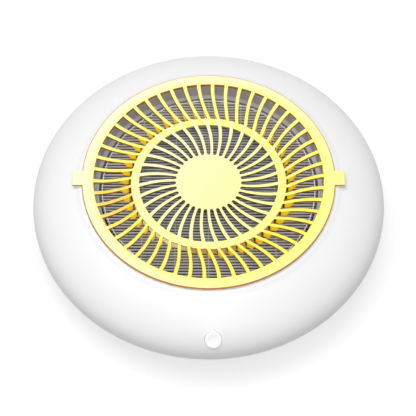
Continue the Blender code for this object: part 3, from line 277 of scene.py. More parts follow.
def cloud_noise(tree, place, scale, detail, distortion=0.0):
    """Cloudy noise over a place."""
    node = tree.nodes.new("ShaderNodeTexNoise")
    node.inputs["Detail"].default_value = detail
    node.inputs["Distortion"].default_value = distortion
    feed(tree, node.inputs["Scale"], scale)
    tree.links.new(place, node.inputs["Vector"])
    return node.outputs["Fac"]


def raise_relief(tree, pattern, strength, distance):
    """The normals of a pattern in relief."""
    node = tree.nodes.new("ShaderNodeBump")
    node.inputs["Distance"].default_value = distance
    feed(tree, node.inputs["Strength"], strength)
    tree.links.new(pattern, node.inputs["Height"])
    return node.outputs["Normal"]


def blend(tree, share, first, second, kind="MIX"):
    """The first tone, which gives way to the second by a share."""
    node = tree.nodes.new("ShaderNodeMix")
    node.data_type = "RGBA"
    node.blend_type = kind
    for socket, value in zip((node.inputs[0], node.inputs[6], node.inputs[7]), (share, first, second)):
        feed(tree, socket, value)
    return node.outputs[2]


def start_group(name, inputs, outputs):
    """An empty shader group with named sockets; inputs are (name, kind, value)."""
    group = bpy.data.node_groups.new(name, "ShaderNodeTree")
    for title, kind, value in inputs:
        socket = group.interface.new_socket(title, in_out="INPUT", socket_type=kind)
        socket.default_value = value
    for title, kind in outputs:
        group.interface.new_socket(title, in_out="OUTPUT", socket_type=kind)
    return group, group.nodes.new("NodeGroupInput").outputs, group.nodes.new("NodeGroupOutput").inputs


def make_moulded_skin():
    """Shader group of a moulded skin: fine grain in the relief and slow patches in the polish."""
    group, given, made = start_group("moulded_skin", [
        ("Grain per Metre", "NodeSocketFloat", 900.0), ("Relief", "NodeSocketFloat", 0.1),
        ("Polish", "NodeSocketFloat", 0.3), ("Patchiness", "NodeSocketFloat", 0.06)],
        [("Roughness", "NodeSocketFloat"), ("Normal", "NodeSocketVector"), ("Patches", "NodeSocketFloat")])
    place = group.nodes.new("ShaderNodeTexCoord").outputs["Object"]
    grain = cloud_noise(group, place, given["Grain per Metre"], 3.0)
    patches = cloud_noise(group, place, PATCHES_PER_METRE, 4.0)
    centred = work_out(group, "SUBTRACT", patches, 0.5)
    uneven = work_out(group, "MULTIPLY_ADD", centred, given["Patchiness"], given["Polish"])
    group.links.new(uneven, made["Roughness"])
    group.links.new(raise_relief(group, grain, given["Relief"], GRAIN_DEPTH), made["Normal"])
    group.links.new(patches, made["Patches"])
    return group


moulded_skin = make_moulded_skin()


def wear_skin(tree, shader, skin, values):
    """Put a skin's group in a material with its own values and return its third output, a mask."""
    node = tree.nodes.new("ShaderNodeGroup")
    node.node_tree = skin
    for socket, value in zip(node.inputs, values):
        socket.default_value = value
    tree.links.new(node.outputs["Roughness"], shader.inputs["Roughness"])
    tree.links.new(node.outputs["Normal"], shader.inputs["Normal"])
    return node.outputs[2]


def moulded_look(name, tone, patches, roughness, grain, relief, patchiness, polish=None):
    """A moulding's material: its skin, and two close tones in slow patches."""
    made, tree, shader = start_material(name, tone, roughness)
    values = (grain, relief, roughness if polish is None else polish, patchiness)
    mask = wear_skin(tree, shader, moulded_skin, values)
    tree.links.new(blend(tree, mask, *patches), shader.inputs["Base Color"])
    return made, shader


def polished_white():
    """White moulding with a polished skin and the faintest unevenness in tone."""
    made, shader = moulded_look("polished_white", WHITE, (WHITE, WHITE_PATCH), roughness=0.36, grain=700.0,
                                relief=0.03, patchiness=0.07)
    shader.inputs["Specular IOR Level"].default_value = 0.32
    shader.inputs["Coat Weight"].default_value = 0.08
    shader.inputs["Coat Roughness"].default_value = 0.12
    return made


white = polished_white()


def crown_height(radius):
    """Height of the crown at a distance from the axis."""
    share = min((radius / BODY_RADIUS) ** CROWN_POWER, 1.0)
    return WIDEST_HEIGHT + CROWN_RISE * (1 - share) ** (1 / CROWN_POWER)


def crown_points(inset, first, last, steps):
    """Points along the crown between two quarter angles, inset from its skin."""
    points = []
    for step in range(steps + 1):
        angle = first + (last - first) * step / steps
        radius = (BODY_RADIUS - inset) * max(math.cos(angle), 0.0) ** (2 / CROWN_POWER)
        height = WIDEST_HEIGHT + (CROWN_RISE - inset) * max(math.sin(angle), 0.0) ** (2 / CROWN_POWER)
        points.append((radius, height))
    return points


def belly_points(inset, rim_height, steps):
    """Points along the belly from a rim height down to its flat, inset from its skin."""
    first = math.asin((WIDEST_HEIGHT - rim_height) / (BELLY_DROP - inset))
    points = []
    for step in range(steps + 1):
        angle = first + (math.pi / 2 - first) * step / steps
        radius = BELLY_FLAT + (BODY_RADIUS - inset - BELLY_FLAT) * max(math.cos(angle), 0.0)
        points.append((radius, WIDEST_HEIGHT - (BELLY_DROP - inset) * math.sin(angle)))
    return points


def ease_corners(points, radius, closed=True, steps=4, least=math.radians(20)):
    """Round the corners of a profile that turn by more than the least angle."""
    eased = []
    count = len(points)
    for index, (x, y) in enumerate(points):
        corner = Vector((x, y))
        if not closed and index in (0, count - 1):
            eased.append((x, y))
            continue
        before = Vector(points[index - 1]) - corner
        after = Vector(points[(index + 1) % count]) - corner
        if math.pi - before.angle(after) < least:
            eased.append((x, y))
            continue
        reach = min(radius, before.length * 0.45, after.length * 0.45)
        start = corner + before.normalized() * reach
        end = corner + after.normalized() * reach
        for step in range(steps + 1):
            t = step / steps
            point = start * (1 - t) ** 2 + corner * 2 * t * (1 - t) + end * t * t
            eased.append((point.x, point.y))
    return eased


def place_mesh(name, mesh):
    """Put a mesh in the scene as an object of the same name."""
    thing = bpy.data.objects.new(name, mesh)
    bpy.context.scene.collection.objects.link(thing)
    return thing


def shade(mesh, degrees):
    """Smooth shading that breaks at folds sharper than an angle."""
    mesh.shade_smooth()
    mesh.set_sharp_from_angle(angle=math.radians(degrees))


def finish_mesh(name, shape, look, degrees=SHARP_DEGREES):
    """Turn a working mesh into a shaded object with its material."""
    bmesh.ops.remove_doubles(shape, verts=shape.verts, dist=WELD)
    bmesh.ops.recalc_face_normals(shape, faces=shape.faces)
    mesh = bpy.data.meshes.new(name)
    shape.to_mesh(mesh)
    shape.free()
    shade(mesh, degrees)
    if look is not None:
        mesh.materials.append(look)
    return place_mesh(name, mesh)


def turn(name, profile, look, closed=True, facets=ROUND_FACETS, degrees=SHARP_DEGREES):
    """Turn a profile of (radius, height) points about the axis."""
    shape = bmesh.new()
    points = [shape.verts.new((radius, 0.0, height)) for radius, height in profile]
    lines = [shape.edges.new(pair) for pair in zip(points, points[1:])]
    if closed:
        lines.append(shape.edges.new((points[-1], points[0])))
    bmesh.ops.spin(shape, geom=points + lines, cent=(0.0, 0.0, 0.0), axis=(0.0, 0.0, 1.0),
                   dvec=(0.0, 0.0, 0.0), angle=math.tau, steps=facets, use_merge=True)
    return finish_mesh(name, shape, look, degrees)


def bridge(shape, first, second):
    """Faces between two closed rings with the same count of corners."""
    for index in range(len(first)):
        after = (index + 1) % len(first)
        shape.faces.new((first[index], first[after], second[after], second[index]))


def stack_rings(shape, rings):
    """A closed skin through rings, with a face over each end."""
    for first, second in zip(rings, rings[1:]):
        bridge(shape, first, second)
    shape.faces.new(reversed(rings[0]))
    shape.faces.new(rings[-1])


def read_result(thing):
    """A new mesh of an object with its modifiers applied."""
    bpy.context.view_layer.update()
    return bpy.data.meshes.new_from_object(thing.evaluated_get(bpy.context.evaluated_depsgraph_get()))


def carve(thing, cutters, degrees=SHARP_DEGREES):
    """Cut pieces out of a mesh, keep the result and take the cutters away."""
    for cutter in cutters:
        step = thing.modifiers.new(cutter.name, "BOOLEAN")
        step.operation = "DIFFERENCE"
        step.solver = "EXACT"
        step.object = cutter
    mesh = read_result(thing)
    look = thing.material_slots[0].material
    thing.modifiers.clear()
    thing.data = mesh
    mesh.materials.clear()
    mesh.materials.append(look)
    shade(mesh, degrees)
    for cutter in cutters:
        bpy.data.objects.remove(cutter)


def polar(radius, azimuth, height=0.0):
    """The point at a distance from the axis, an azimuth from +X and a height."""
    return Vector((radius * math.cos(azimuth), radius * math.sin(azimuth), height))


def find_button_frame():
    """The button's own axes: its origin on the crown, +Z outwards and +Y up the shoulder."""
    height = crown_height(BUTTON_ORBIT)
    across = (BUTTON_ORBIT / BODY_RADIUS) ** (CROWN_POWER - 1) / BODY_RADIUS
    upward = ((height - WIDEST_HEIGHT) / CROWN_RISE) ** (CROWN_POWER - 1) / CROWN_RISE
    tilt = math.pi / 2 - math.atan2(upward, across)
    place = Matrix.Translation(polar(BUTTON_ORBIT, BUTTON_AZIMUTH, height))
    return place @ Matrix.Rotation(BUTTON_AZIMUTH + math.pi / 2, 4, "Z") @ Matrix.Rotation(tilt, 4, "X")


button_frame = find_button_frame()


def button_reach(turn_angle):
    """Distance of the button's outline from its middle, with the pointed nub up the shoulder."""
    away = abs((turn_angle - math.pi / 2 + math.pi) % math.tau - math.pi)
    rise = max(1 - away / NUB_SPREAD, 0.0)
    return BUTTON_RADIUS + NUB_RISE * rise ** NUB_POWER


def crown_lift(x, y):
    """Height of the crown over a spot of the button's own plane, along the button's axis."""
    low, high = -0.004, 0.002
    for _ in range(24):
        middle = (low + high) / 2
        point = button_frame @ Vector((x, y, middle))
        if point.z > crown_height(point.xy.length):
            high = middle
        else:
            low = middle
    return (low + high) / 2


def make_button_hole():
    """Cutter for the button's hole, which follows the crown and leaves a small even chamfer."""
    shape = bmesh.new()
    rings = []
    for margin, lift, follows_crown in HOLE_RINGS:
        ring = []
        for step in range(HOLE_STEPS):
            angle = math.tau * step / HOLE_STEPS
            reach = button_reach(angle) + margin
            x, y = reach * math.cos(angle), reach * math.sin(angle)
            height = lift + (crown_lift(x, y) if follows_crown else 0.0)
            ring.append(shape.verts.new(button_frame @ Vector((x, y, height))))
        rings.append(ring)
    stack_rings(shape, rings)
    return finish_mesh("button_hole", shape, None)


def make_crown():
    """The top shell's skin and land, with the hole for the button."""
    start = LAND_RADIUS + LAND_BLEND
    first = math.acos((start / BODY_RADIUS) ** (CROWN_POWER / 2))
    under = (LAND_HEIGHT - SHELL_WALL - WIDEST_HEIGHT) / (CROWN_RISE - SHELL_WALL)
    last = math.asin(under ** (CROWN_POWER / 2))
    skin = crown_points(0.0, first, 0.0, CROWN_STEPS)
    fall = -CROWN_RISE / BODY_RADIUS * (start / BODY_RADIUS) ** (CROWN_POWER - 1)
    fall *= ((skin[0][1] - WIDEST_HEIGHT) / CROWN_RISE) ** (1 - CROWN_POWER) * LAND_BLEND
    land_edge = []
    for step in range(LAND_STEPS):
        t = step / LAND_STEPS
        rise = LAND_HEIGHT * (2 * t ** 3 - 3 * t ** 2 + 1) + skin[0][1] * (3 * t ** 2 - 2 * t ** 3)
        land_edge.append((LAND_RADIUS + LAND_BLEND * t, rise + fall * (t ** 3 - t ** 2)))
    parting_radius = belly_points(0.0, PARTING_HEIGHT, 8)[0][0]
    down = []
    for step in range(1, PARTING_STEPS + 1):
        t = step / PARTING_STEPS
        down.append((BODY_RADIUS - (BODY_RADIUS - parting_radius) * t ** 2,
                     WIDEST_HEIGHT - (WIDEST_HEIGHT - PARTING_HEIGHT - PARTING_EASE) * t))
    parting = [(parting_radius - inset, PARTING_HEIGHT) for inset in (PARTING_INSET, PARTING_FACE)]
    inner = crown_points(SHELL_WALL, 0.0, last, 24)
    mouth = ease_corners([inner[-1], (WELL_RADIUS, LAND_HEIGHT - SHELL_WALL), (WELL_RADIUS, LAND_HEIGHT),
                          land_edge[0]], MOULDED_EDGE, closed=False)
    crown = turn("crown", land_edge[1:] + skin + down + parting + inner[:-1] + mouth, white)
    carve(crown, [make_button_hole()])
    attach(crown, "housing")
    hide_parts("top_shell")


def make_well():
    """The cartridge's well: a plain ring wall with the ledge that the foam seal lands on."""
    top = LAND_HEIGHT - SHELL_WALL - GAP
    well = turn("cartridge_well", ease_corners([
        (WELL_OUTSIDE, top), (WELL_OUTSIDE, LEDGE_BOTTOM), (LEDGE_RADIUS, LEDGE_BOTTOM),
        (LEDGE_RADIUS, LEDGE_TOP), (WELL_RADIUS, LEDGE_TOP), (WELL_RADIUS, top)], MOULDED_EDGE), white)
    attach(well, "housing")
    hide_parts("filter_well")


make_crown()
make_well()


# Bottom shell. The belly is the same white moulding as the crown. The exhaust leaves through two banks
# of slots at the back, the power socket sits between them, and the screws go in from below.
RIM_HEIGHT = PARTING_HEIGHT - GAP
RIM_EASE = 0.0003
LIP_WALL = 0.0012
LIP_RISE = 0.0025
VENT_FIRST = math.radians(9)
VENT_PITCH = math.radians(3.8)
VENT_COUNT = 7
VENT_WIDTH = 0.003
VENT_BOTTOM = 0.0165
VENT_TOP = 0.0310
VENT_INSIDE = 0.110
PAST_SKIN = 0.150
POCKET_WIDTH = 0.0140
POCKET_HEIGHT = 0.0104
POCKET_CORNER = 0.0012
POCKET_FLOOR = 0.124
POCKET_WALL = 0.002
POCKET_MOUTH = 0.136
BARREL_HOLE_FIRST = 0.120
BARREL_HOLE_LAST = 0.130
TRIM_INSET = 0.0004
TRIM_HEIGHT = 0.0335
TRIM_CORNERS = ((0.1442, 0.045), (0.150, 0.045), (0.150, 0.0), (0.06, 0.0))
SOCKET_HEIGHT = 0.0272
SOCKET_RADIUS = 0.0046
CORNERS = [math.radians(45 + 90 * index) for index in range(4)]
PILLAR_ORBIT = 0.116
PILLAR_FOOT = 0.0245
SCREW_SEAT = 0.0194
SCREW_WELL_RADIUS = 0.0032
SCREW_POST_RADIUS = 0.0041
SCREW_HOLE_RADIUS = 0.0018
FOOT_ORBIT = 0.088
FOOT_RADIUS = 0.0075
FOOT_PAD_BOTTOM = 0.0030


def belly_height(radius):
    """Height of the belly's skin at a distance from the axis."""
    reach = max(radius - BELLY_FLAT, 0.0) / (BODY_RADIUS - BELLY_FLAT)
    return WIDEST_HEIGHT - BELLY_DROP * math.sqrt(1 - reach * reach)


def prism(name, outline, place, low, high, look=None):
    """Extrude an outline of (x, y) points between two heights of its own axes."""
    shape = bmesh.new()
    stack_rings(shape, [[shape.verts.new(place @ Vector((x, y, height))) for x, y in outline]
                        for height in (low, high)])
    return finish_mesh(name, shape, look)


def round_outline(radius, count):
    """Points round a circle."""
    return [(radius * math.cos(math.tau * step / count), radius * math.sin(math.tau * step / count))
            for step in range(count)]


def oblong_outline(width, height, radius, steps=8):
    """Points round an oblong with rounded corners."""
    points = []
    for corner, (side_x, side_y) in enumerate(((1, 1), (-1, 1), (-1, -1), (1, -1))):
        for step in range(steps + 1):
            angle = math.pi / 2 * (corner + step / steps)
            points.append((side_x * (width / 2 - radius) + radius * math.cos(angle),
                           side_y * (height / 2 - radius) + radius * math.sin(angle)))
    return points


def join_meshes(name, things, look):
    """Put several pieces of one moulding into one object."""
    shape = bmesh.new()
    for thing in things:
        shape.from_mesh(thing.data)
        bpy.data.objects.remove(thing)
    mesh = bpy.data.meshes.new(name)
    shape.to_mesh(mesh)
    shape.free()
    mesh.materials.clear()
    mesh.materials.append(look)
    return place_mesh(name, mesh)


def make_vent_cutters():
    """One cutter with all the round-ended slots, each pointing away from the axis."""
    slots = []
    middle = Matrix.Translation((0.0, 0.0, (VENT_BOTTOM + VENT_TOP) / 2))
    outline = oblong_outline(VENT_TOP - VENT_BOTTOM, VENT_WIDTH, VENT_WIDTH / 2 - 0.00001)
    for side in (-1, 1):
        for index in range(VENT_COUNT):
            azimuth = math.pi / 2 + side * (VENT_FIRST + VENT_PITCH * index)
            place = Matrix.Rotation(azimuth, 4, "Z") @ Matrix.Rotation(math.pi / 2, 4, "Y")
            slots.append(prism("slot", outline, middle @ place, VENT_INSIDE, PAST_SKIN))
    return join_meshes("vent_slots", slots, white)


def make_bowl():
    """The bowl and the lip that stands up inside the top shell."""
    belly = belly_points(0.0, RIM_HEIGHT - RIM_EASE, 56)
    inner = belly_points(SHELL_WALL, RIM_HEIGHT, 32)[::-1]
    lip_outside = belly_points(SHELL_WALL, PARTING_HEIGHT, 4)[0][0] - GAP
    lip_inside = lip_outside - LIP_WALL
    lip_top = RIM_HEIGHT + LIP_RISE
    bottom = WIDEST_HEIGHT - BELLY_DROP
    profile = [(0.0, bottom + SHELL_WALL)] + inner[:-1]
    profile += [(lip_inside, RIM_HEIGHT), (lip_inside, lip_top), (lip_outside, lip_top)]
    profile += [(lip_outside, RIM_HEIGHT), (belly[0][0] - RIM_EASE, RIM_HEIGHT)] + belly + [(0.0, bottom)]
    return turn("belly_bowl", profile, white, closed=False)


def make_screw_post(spot):
    """The hollow post that a shell screw goes up in, with the seat for its head."""
    skin = belly_height(PILLAR_ORBIT)
    top = PILLAR_FOOT - GAP
    wall = turn("screw_post", ease_corners([
        (SCREW_POST_RADIUS, skin + 0.0006), (SCREW_POST_RADIUS, top), (SCREW_HOLE_RADIUS, top),
        (SCREW_HOLE_RADIUS, SCREW_SEAT), (SCREW_WELL_RADIUS, SCREW_SEAT),
        (SCREW_WELL_RADIUS, skin - 0.0012)], SMALL_EDGE), white, facets=40)
    wall.data.transform(spot)
    return wall


def make_foot_pad(spot):
    """The round pad that a rubber foot is plugged into."""
    top = belly_height(FOOT_ORBIT + FOOT_RADIUS) + 0.0008
    pad = turn("foot_pad", ease_corners([
        (0.0, FOOT_PAD_BOTTOM), (FOOT_RADIUS, FOOT_PAD_BOTTOM), (FOOT_RADIUS, top), (0.0, top)],
        SMALL_EDGE, closed=False), white, facets=48)
    pad.data.transform(spot)
    return pad


def cut_pocket(back):
    """Cutter for the socket's pocket, from its floor out past the skin."""
    outline = oblong_outline(POCKET_WIDTH, POCKET_HEIGHT, POCKET_CORNER)
    return prism("pocket_cut", outline, back, POCKET_FLOOR, PAST_SKIN)


def make_pocket_wall(back):
    """The walls and floor of the socket's pocket, trimmed to the inside of the bowl."""
    outline = oblong_outline(POCKET_WIDTH + 2 * POCKET_WALL, POCKET_HEIGHT + 2 * POCKET_WALL, POCKET_WALL)
    wall = prism("pocket_wall", outline, back, POCKET_FLOOR - POCKET_WALL, POCKET_MOUTH, white)
    barrel = prism("barrel_hole", round_outline(SOCKET_RADIUS + GAP, 48), back, BARREL_HOLE_FIRST,
                   BARREL_HOLE_LAST)
    outside = turn("outside_bowl", [*TRIM_CORNERS[1:], *belly_points(TRIM_INSET, TRIM_HEIGHT, 40)[::-1],
                                    TRIM_CORNERS[0]], white)
    carve(wall, [cut_pocket(back), barrel, outside])
    return wall


def make_belly():
    """The bottom shell's bowl with its lip, slots, socket pocket, screw wells and foot pads."""
    back = Matrix.Translation((0.0, 0.0, SOCKET_HEIGHT)) @ Matrix.Rotation(-math.pi / 2, 4, "X")
    bowl = make_bowl()
    cutters = [make_vent_cutters(), cut_pocket(back)]
    posts = []
    for azimuth in CORNERS:
        spot = Matrix.Translation(polar(PILLAR_ORBIT, azimuth))
        cutters.append(prism("screw_well", round_outline(SCREW_WELL_RADIUS, 40), spot, 0.0, SCREW_SEAT))
        posts.append(make_screw_post(spot))
        posts.append(make_foot_pad(Matrix.Translation(polar(FOOT_ORBIT, azimuth))))
    carve(bowl, cutters)
    belly = join_meshes("belly", [bowl, make_pocket_wall(back)] + posts, white)
    shade(belly.data, SHARP_DEGREES)
    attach(belly, "housing")
    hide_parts("bottom_shell")


make_belly()


# Feet and shell screws. Four soft dark rubber feet are plugged into the pads under the belly, and four
# zinc-plated pan-head screws with a cross recess hold the two shells together from below.
FOOT_HEIGHT = 0.0027
TREAD_EDGE = 0.0007
SOLE_GROOVE = ((0.0056, 0.0), (0.0053, 0.0005), (0.0046, 0.0005), (0.0043, 0.0))
SCREW_RADIUS = 0.0015
SCREW_HEAD_RADIUS = 0.0029
SCREW_HEAD_HEIGHT = 0.0020
SCREW_TIP = 0.0332
THREAD_PITCH = 0.0009
RECESS_REACH = SCREW_HEAD_RADIUS * 0.56
RECESS_WIDTH = SCREW_HEAD_RADIUS * 0.26
RECESS_FLOOR = SCREW_HEAD_HEIGHT * 0.45
SCREW_SHARP_DEGREES = 50
SCRATCH_DEPTH = 0.0001


def make_metal_grain():
    """Shader group of drawn or turned metal: long scratches in one direction."""
    group, given, made = start_group("metal_grain", [
        ("Stretch", "NodeSocketVector", (60.0, 60.0, 900.0)), ("Relief", "NodeSocketFloat", 0.1),
        ("Polish", "NodeSocketFloat", 0.3), ("Spread", "NodeSocketFloat", 0.15)],
        [("Roughness", "NodeSocketFloat"), ("Normal", "NodeSocketVector"), ("Scratches", "NodeSocketFloat")])
    place = group.nodes.new("ShaderNodeTexCoord").outputs["Object"]
    stretched = work_out_vector(group, "MULTIPLY", place, given["Stretch"])
    scratches = cloud_noise(group, stretched, 1.0, 5.0)
    uneven = work_out(group, "MULTIPLY_ADD", scratches, given["Spread"], given["Polish"])
    group.links.new(uneven, made["Roughness"])
    group.links.new(raise_relief(group, scratches, given["Relief"], SCRATCH_DEPTH), made["Normal"])
    group.links.new(scratches, made["Scratches"])
    return group


metal_grain = make_metal_grain()


def grained_metal(name, light_tone, dark_tone, stretch, relief, polish, spread):
    """A metal with its scratches and a little tarnish between two tones."""
    made, tree, shader = start_material(name, light_tone, polish, 1.0)
    scratches = wear_skin(tree, shader, metal_grain, (stretch, relief, polish, spread))
    tree.links.new(blend(tree, scratches, dark_tone, light_tone), shader.inputs["Base Color"])
    return made


rubber, _ = moulded_look("soft_rubber", (0.035, 0.035, 0.037), ((0.030, 0.030, 0.032), (0.055, 0.055, 0.057)),
                         roughness=0.82, grain=1600.0, relief=0.5, patchiness=0.12, polish=0.80)
zinc = grained_metal("zinc_plate", (0.72, 0.72, 0.73), (0.50, 0.50, 0.52), stretch=(500.0, 500.0, 900.0),
                     relief=0.15, polish=0.22, spread=0.2)


def make_feet():
    """Each foot is a low button with a rounded tread edge and a shallow ring in its sole."""
    profile = ease_corners([(0.0, FOOT_HEIGHT), (FOOT_RADIUS, FOOT_HEIGHT), (FOOT_RADIUS, 0.0), *SOLE_GROOVE,
                            (0.0, 0.0)], TREAD_EDGE, closed=False)
    for index, azimuth in enumerate(CORNERS, 1):
        foot = turn(f"rubber_foot_{index}", profile, rubber, closed=False, facets=64)
        foot.data.transform(Matrix.Translation(polar(FOOT_ORBIT, azimuth)))
        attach(foot, "housing")
        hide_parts(f"foot_{index}")


def screw_profile(length):
    """Half the outline of a screw: domed head, seat, thread and point."""
    head, rise, radius = SCREW_HEAD_RADIUS, SCREW_HEAD_HEIGHT, SCREW_RADIUS
    profile = [(0.0, -rise), (head * 0.55, -rise), (head * 0.86, -rise * 0.78), (head, -rise * 0.38),
               (head, 0.0), (radius, 0.0)]
    threads = int(length / THREAD_PITCH)
    for index in range(threads):
        root = length * (0.08 + 0.84 * index / threads)
        crest = length * (0.08 + 0.84 * (index + 0.5) / threads)
        profile += [(radius * 0.80, root), (radius, crest)]
    return profile + [(radius * 0.55, length * 0.96), (0.0, length)]


def make_shell_screws():
    """The four screws in their wells under the belly, each with a cross recess in its head."""
    seat = SCREW_SEAT - GAP
    profile = screw_profile(SCREW_TIP - seat)
    arm = oblong_outline(RECESS_REACH * 2, RECESS_WIDTH, SCREW_HEAD_RADIUS * 0.06, steps=2)
    for index, azimuth in enumerate(CORNERS, 1):
        screw = turn(f"shell_fixing_{index}", profile, zinc, closed=False, facets=36,
                     degrees=SCREW_SHARP_DEGREES)
        recess = [prism("recess", arm, Matrix.Rotation(turned, 4, "Z"), -SCREW_HEAD_HEIGHT * 1.3, -RECESS_FLOOR)
                  for turned in (0.0, math.pi / 2)]
        carve(screw, recess, SCREW_SHARP_DEGREES)
        screw.data.transform(Matrix.Translation(polar(PILLAR_ORBIT, azimuth, seat)))
        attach(screw, "housing")
        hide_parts(f"shell_screw_{index}")


make_feet()
make_shell_screws()


# Power socket. A black barrel socket with a nickel centre pin sits at the bottom of a small pocket
# in the back of the belly, where the plug of the adapter's lead goes in.
SOCKET_BORE = 0.0031
SOCKET_DEPTH = 0.009
SOCKET_BODY = 0.012
PIN_RADIUS = 0.001
PIN_TIP = -0.001
PIN_NOSE = 0.0008


def matt_black(name, grain, relief, polish):
    """Black moulding with a spark-eroded texture."""
    made, _ = moulded_look(name, (0.018, 0.018, 0.019), ((0.014, 0.014, 0.015), (0.028, 0.028, 0.030)),
                           roughness=polish, grain=grain, relief=relief, patchiness=0.15)
    return made


socket_black = matt_black("socket_black", grain=1500.0, relief=0.25, polish=0.38)


def make_power_socket():
    """The barrel with its eased mouth and the round-nosed pin inside it."""
    back = Matrix.Translation((0.0, POCKET_FLOOR, SOCKET_HEIGHT)) @ Matrix.Rotation(-math.pi / 2, 4, "X")
    barrel = ease_corners([
        (0.0, -SOCKET_DEPTH), (SOCKET_BORE, -SOCKET_DEPTH), (SOCKET_BORE, 0.0), (SOCKET_RADIUS, 0.0),
        (SOCKET_RADIUS, -SOCKET_BODY), (0.0, -SOCKET_BODY)], SMALL_EDGE, closed=False)
    socket = turn("power_socket", barrel, socket_black, closed=False, facets=64)
    socket.data.transform(back)
    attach(socket, "housing")
    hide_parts("dc_socket")
    nose = ease_corners([(PIN_RADIUS, -SOCKET_DEPTH), (PIN_RADIUS, PIN_TIP), (0.0, PIN_TIP)], PIN_NOSE,
                        closed=False, steps=6)
    pin = turn("socket_pin", nose, zinc, closed=False, facets=32)
    pin.data.transform(back)
    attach(pin, "housing")


make_power_socket()


# Filter cartridge. A grey frame with a flat border holds fine pleats of grey paper, which run from side
# to side and are kept apart by thin beads of glue. A foam ring seals it on the ledge of the well.
FRAME_RADIUS = 0.0946
FRAME_INSIDE = 0.0932
FRAME_TOP = 0.0724
FRAME_BOTTOM = 0.0481
SHELF_HEIGHT = 0.06095
POTTING_INSIDE = 0.0896
LIP_INSIDE = 0.0875
LIP_HEIGHT = 0.0012
MEDIA_RADIUS = 0.0886
MEDIA_TOP = 0.0608
MEDIA_BOTTOM = 0.0496
PLEAT_PITCH = 0.00265
PLEAT_LEVELS = (0.0, 0.06, 0.12, 0.5, 0.88, 0.94)
PLEAT_BEND = 0.12
PLEAT_END_GAP = 0.0003
PLEAT_SIDE_GAP = 0.0004
PLEAT_SWAY = 0.00009
PLEAT_STEPS = 28
PLEAT_SHARP_DEGREES = 60
PAPER = 0.00042
PAPER_DARK = (0.014, 0.014, 0.016)
PAPER_PALE = (0.76, 0.77, 0.80)
FIBRES_PER_METRE = 2600.0
FIBRE_DEPTH = 0.0001
FOLD_DARK_FROM = 0.0026
FOLD_PALE_FROM = 0.0009
EDGE_BEAD = 0.0870
EDGE_BEAD_HALF = 0.00038
EDGE_BEAD_SINK = 0.0006
EDGE_BEAD_RISE = 0.0003
BEAD_SPACING = 0.027
BEAD_THICK = 0.00036
BEAD_SINK = 0.00040
BEAD_SAG = 0.0017
BEAD_SWAY = 0.00012
BEAD_END_GAP = 0.0008
BEAD_STEPS_PER_FOLD = 8
SEAL_INSIDE = 0.0891
SEAL_TOP = 0.0478
SEAL_BOTTOM = 0.0458
SEAL_EDGE = 0.0006
CELLS_PER_METRE = 1500.0
CELL_DEPTH = 0.0003


def frame_grey():
    """Grey frame moulding, matt, with faint upright flow lines on its wall."""
    made, tree, shader = start_material("frame_grey", (0.50, 0.50, 0.505), 0.55)
    wear_skin(tree, shader, moulded_skin, (1100.0, 0.3, 0.52, 0.12))
    place = tree.nodes.new("ShaderNodeTexCoord").outputs["Object"]
    squeezed = work_out_vector(tree, "MULTIPLY", place, (420.0, 420.0, 14.0))
    lines = cloud_noise(tree, squeezed, 1.0, 2.0)
    tree.links.new(blend(tree, lines, (0.43, 0.435, 0.45), (0.52, 0.525, 0.54)), shader.inputs["Base Color"])
    return made


def filter_paper():
    """Grey filter paper: matted fibres, with painted shade that darkens it down in the folds and leaves it
    paler on the ridges.
    """
    made, tree, shader = start_material("filter_paper", (0.33, 0.33, 0.335), 0.92)
    place = tree.nodes.new("ShaderNodeTexCoord").outputs["Object"]
    fibres = cloud_noise(tree, place, FIBRES_PER_METRE, 4.0, distortion=1.2)
    tree.links.new(raise_relief(tree, fibres, 0.5, FIBRE_DEPTH), shader.inputs["Normal"])
    height = split_up(tree, place)["Z"]
    # Painted shade: the paper darkens with depth below the tops of the pleats.
    depth = carry_over(tree, height, MEDIA_TOP - FOLD_DARK_FROM, MEDIA_TOP - FOLD_PALE_FROM, -0.36)
    mottle_and_fold_shade = work_out(tree, "MULTIPLY_ADD", fibres, 0.35, depth)
    tree.links.new(blend(tree, mottle_and_fold_shade, PAPER_DARK, PAPER_PALE), shader.inputs["Base Color"])
    return made


def open_foam():
    """Black sealing foam with open cells."""
    made, tree, shader = start_material("open_foam", (0.02, 0.02, 0.021), 0.96)
    cells = tree.nodes.new("ShaderNodeTexVoronoi")
    cells.inputs["Scale"].default_value = CELLS_PER_METRE
    tree.links.new(tree.nodes.new("ShaderNodeTexCoord").outputs["Object"], cells.inputs["Vector"])
    walls = cells.outputs["Distance"]
    tree.links.new(raise_relief(tree, walls, 0.9, CELL_DEPTH), shader.inputs["Normal"])
    tone = blend(tree, walls, (0.035, 0.035, 0.037), (0.010, 0.010, 0.011))
    tree.links.new(tone, shader.inputs["Base Color"])
    return made


def waxy_glue(name, dark, light, glow):
    """Hot glue with a waxy skin that takes in a little light, and a painted glow on top of that."""
    made, shader = moulded_look(name, light, (dark, light), roughness=0.42, grain=900.0, relief=0.3,
                                patchiness=0.2, polish=0.40)
    shader.inputs["Subsurface Weight"].default_value = 0.1
    shader.inputs["Subsurface Radius"].default_value = (0.0004, 0.0004, 0.0004)
    # Painted glow, which lifts the glue above the light that reaches it.
    shader.inputs["Emission Color"].default_value = (1.0, 1.0, 1.0, 1.0)
    shader.inputs["Emission Strength"].default_value = glow
    return made


grey_frame = frame_grey()
paper = filter_paper()
foam = open_foam()
milky_glue = waxy_glue("milky_glue", (0.82, 0.82, 0.82), (0.90, 0.90, 0.90), 0.06)
clear_glue = waxy_glue("clear_glue", (0.50, 0.50, 0.50), (0.66, 0.66, 0.66), 0.01)


